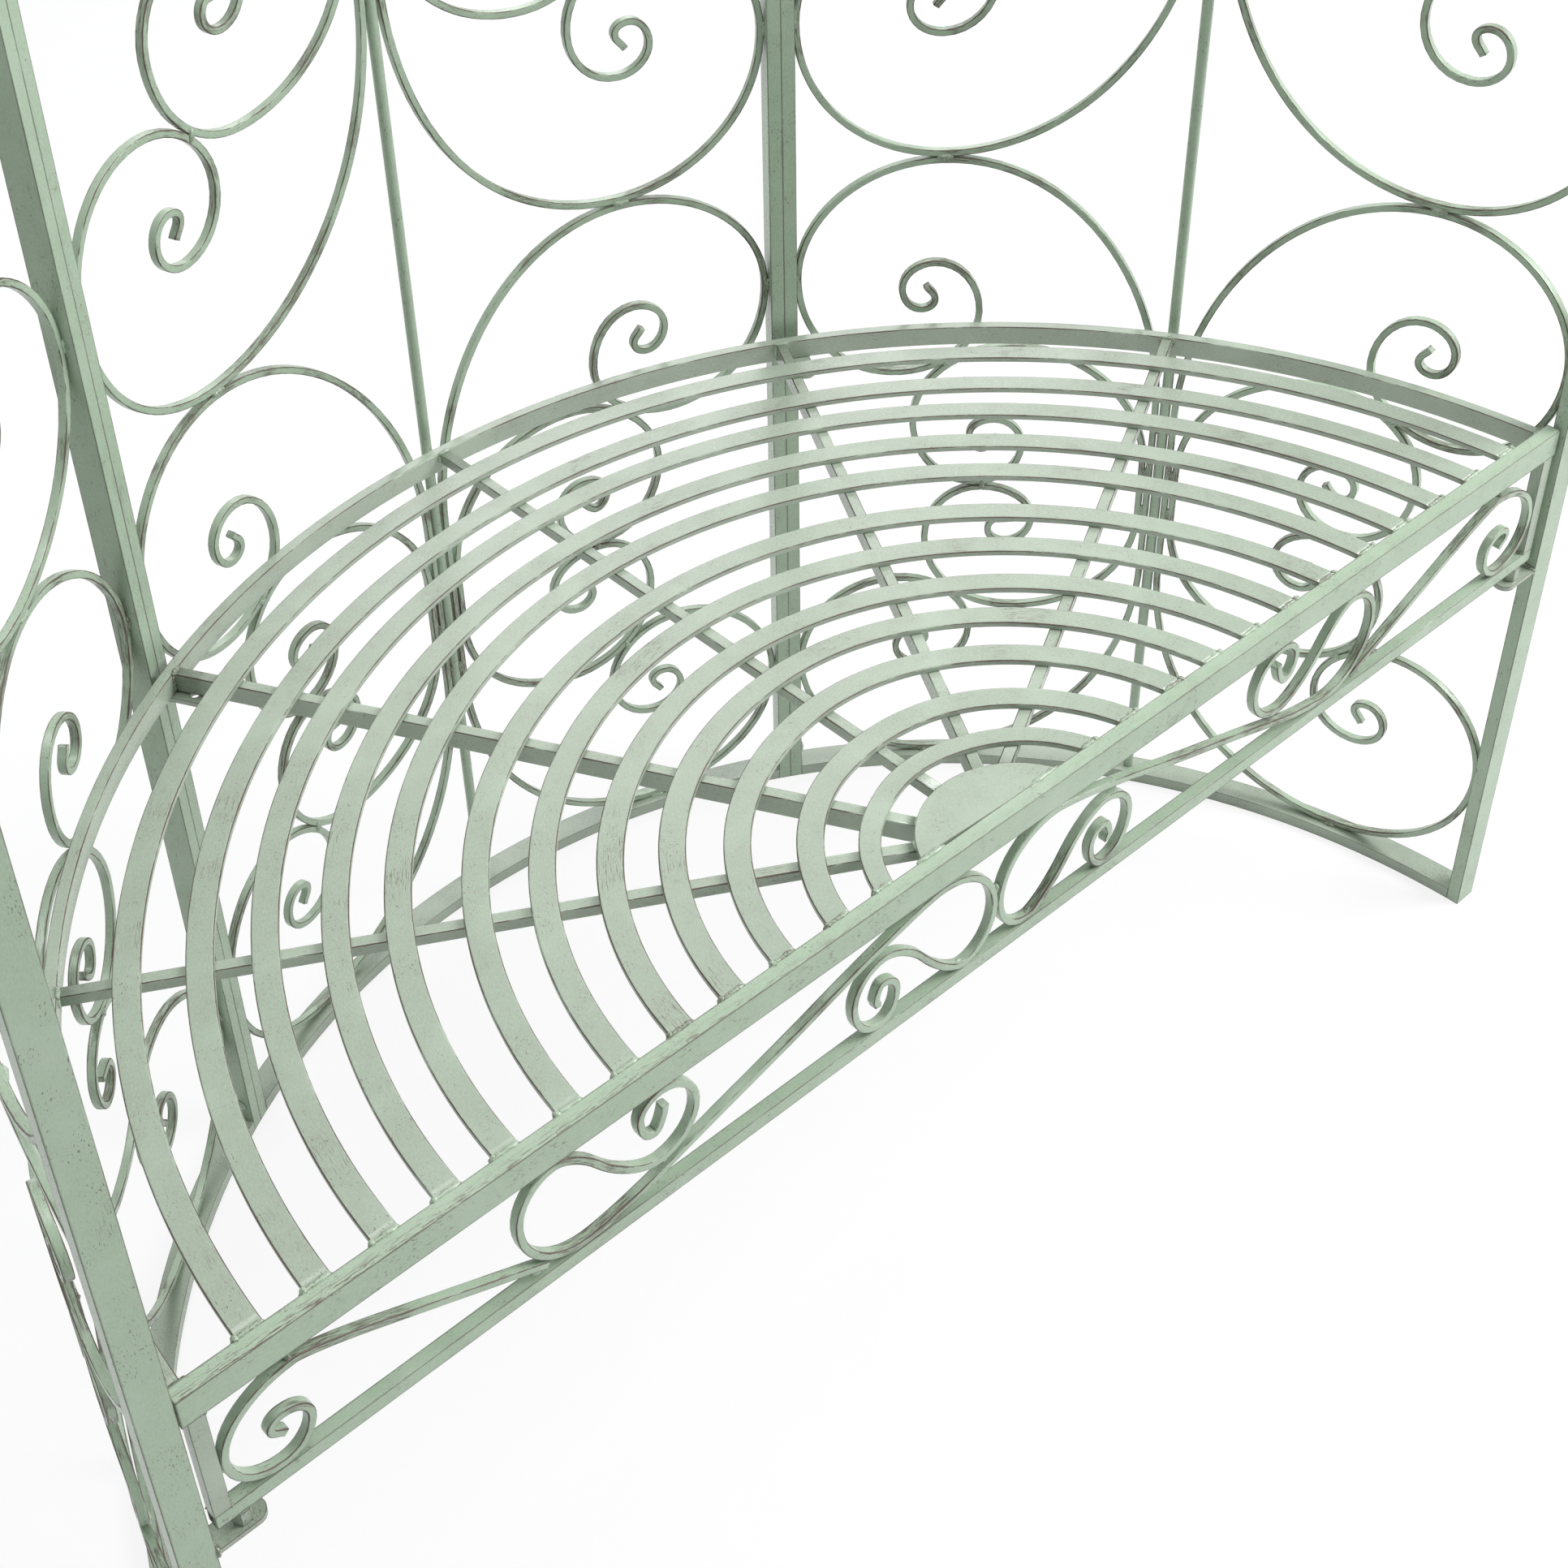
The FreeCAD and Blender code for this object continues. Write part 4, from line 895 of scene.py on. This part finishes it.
# Beads where the four tabs leave their posts, above and below.
def tabWelds(look):
    sink, short = look["sink"], weld["short"]
    parts = []
    for side, hand in (("left", -1), ("right", 1)):
        low, high = [np.array(corner) * 1000 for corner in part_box("front_%s_seat_tab" % side)]
        x = (low[0] if hand < 0 else high[0]) - hand * sink
        for z in (low[2], high[2]):
            parts.append(weldBead((x, low[1] + short, z), (x, high[1] - short, z), weld["blob"]))
        low, high = [np.array(corner) * 1000 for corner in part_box("back_%s_seat_tab" % side)]
        # the back posts stand at the two seams between the panels
        seam = math.radians(frontAngle + arbour["panelAngle"] * (1 if hand > 0 else 2))
        outward = np.array([math.cos(seam), math.sin(seam), 0])
        around = np.array([-math.sin(seam), math.cos(seam), 0]) * hand
        face = outward * (arbour["postInner"] - sink) + [0, circleY, 0]
        for z in (low[2], high[2]):
            parts.append(weldBead(face - around * short + [0, 0, z],
                                  face - around * look["length"] + [0, 0, z], weld["thick"]))
    return parts


panelJoints = {
    "lanes": [(3.7, 62), (3.7, -62), (10.2, 18), (10.2, -18)],    # middles of the beads by the rod
    "laneHalf": 4.0,          # half their length
    "posts": (196, -176),     # drawn heights at which the outer scrolls touch the upright
    "postHalf": 3.0,
    "rail": (170, 178),       # across, where the outer scrolls touch the end of their row
    "curls": 40,              # mm from the rod, past which strips count as curls
    "inward": 2.4,            # mm from the strips' middle to the middle of a bead
    "cornerHalf": 8.0,        # half the bead between upright and rail
}


# Every place of a panel where strips meet each other or the frame, and the joints of the frame
# itself. A bridge is a tack between the nearest spots of two curls, where these are close.
def panelWelds(middleAngle, look):
    reach, thick, blob = postSide + look["inward"], weld["thick"], weld["blob"]
    bridges = []
    for pair in (("outerUp", "innerUp"), ("outerDown", "innerDown"), ("innerUp", "innerDown")):
        lines = [panelLine(kind, panelScroll) for kind in pair]
        a, b = [line[line[:, 0] > look["curls"]] for line in lines]
        gaps = np.linalg.norm(a[:, None] - b[None], axis=2)
        i, j = np.unravel_index(gaps.argmin(), gaps.shape)
        if gaps[i, j] < weld["closeBy"]:
            bridges.append((*a[i], *b[j]))
    tacks = []
    for waist in waists:
        for drawn in look["posts"]:
            height = waist + drawn * (rowEdge / panelScroll["drawnEdge"])
            tacks.append((reach, height - look["postHalf"], reach, height + look["postHalf"], blob))
        for lane, height in look["lanes"]:
            tacks.append((lane, waist + height - look["laneHalf"],
                          lane, waist + height + look["laneHalf"], thick))
        for edge in (-1, 1) if waist == waists[0] else (1,):     # a rail lies under the lowest row
            z = waist + edge * arbour["rowHeight"] / 2
            tacks.append((look["rail"][0], z, look["rail"][1], z, blob))
        for ax, az, bx, bz in bridges:
            tacks.append((ax, waist + az, bx, waist + bz, blob))
    depth = midRadius - look["inward"]
    parts = []
    for ax, az, bx, bz, size in tacks:
        for hand in (-1, 1):
            parts.append(weldBead(onPanel(middleAngle, hand * ax, az, depth),
                                  onPanel(middleAngle, hand * bx, bz, depth), size))
    corner = midRadius * halfPanel - arbour["postWidth"]
    for z in (arbour["railHeight"], arbour["railHeight"] + arbour["rows"] * arbour["rowHeight"]):
        for hand in (-1, 1):
            parts.append(weldBead(
                onPanel(middleAngle, hand * corner, z, midRadius - look["cornerHalf"]),
                onPanel(middleAngle, hand * corner, z, midRadius + look["cornerHalf"]), thick))
    return parts


makePiece("seatWeldBeads", seatWelds(), "weld")
makePiece("apronWeldBeads", apronWelds(apronJoints), "weld")
makePiece("tabWeldBeads", tabWelds(tabJoints), "weld")
for panel, middleAngle in panelMiddles.items():
    makePiece(panel + "PanelWeldBeads", panelWelds(middleAngle, panelJoints), "weld")
print("weld beads laid")

# The pieces whose solids are right keep them and get their finish here.
for node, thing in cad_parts.items():
    if node == "foot_plugs":
        finish = "plastic"
    elif "upright" in node or "rod" in node:
        finish = "up"
    elif node == "seat_front_bar":
        finish = "bar"
    elif node == "apron_rail":
        finish = "across"
    else:
        finish = "even"
    thing.data.materials.clear()
    thing.data.materials.append(finishes[finish])
print("finishes given")
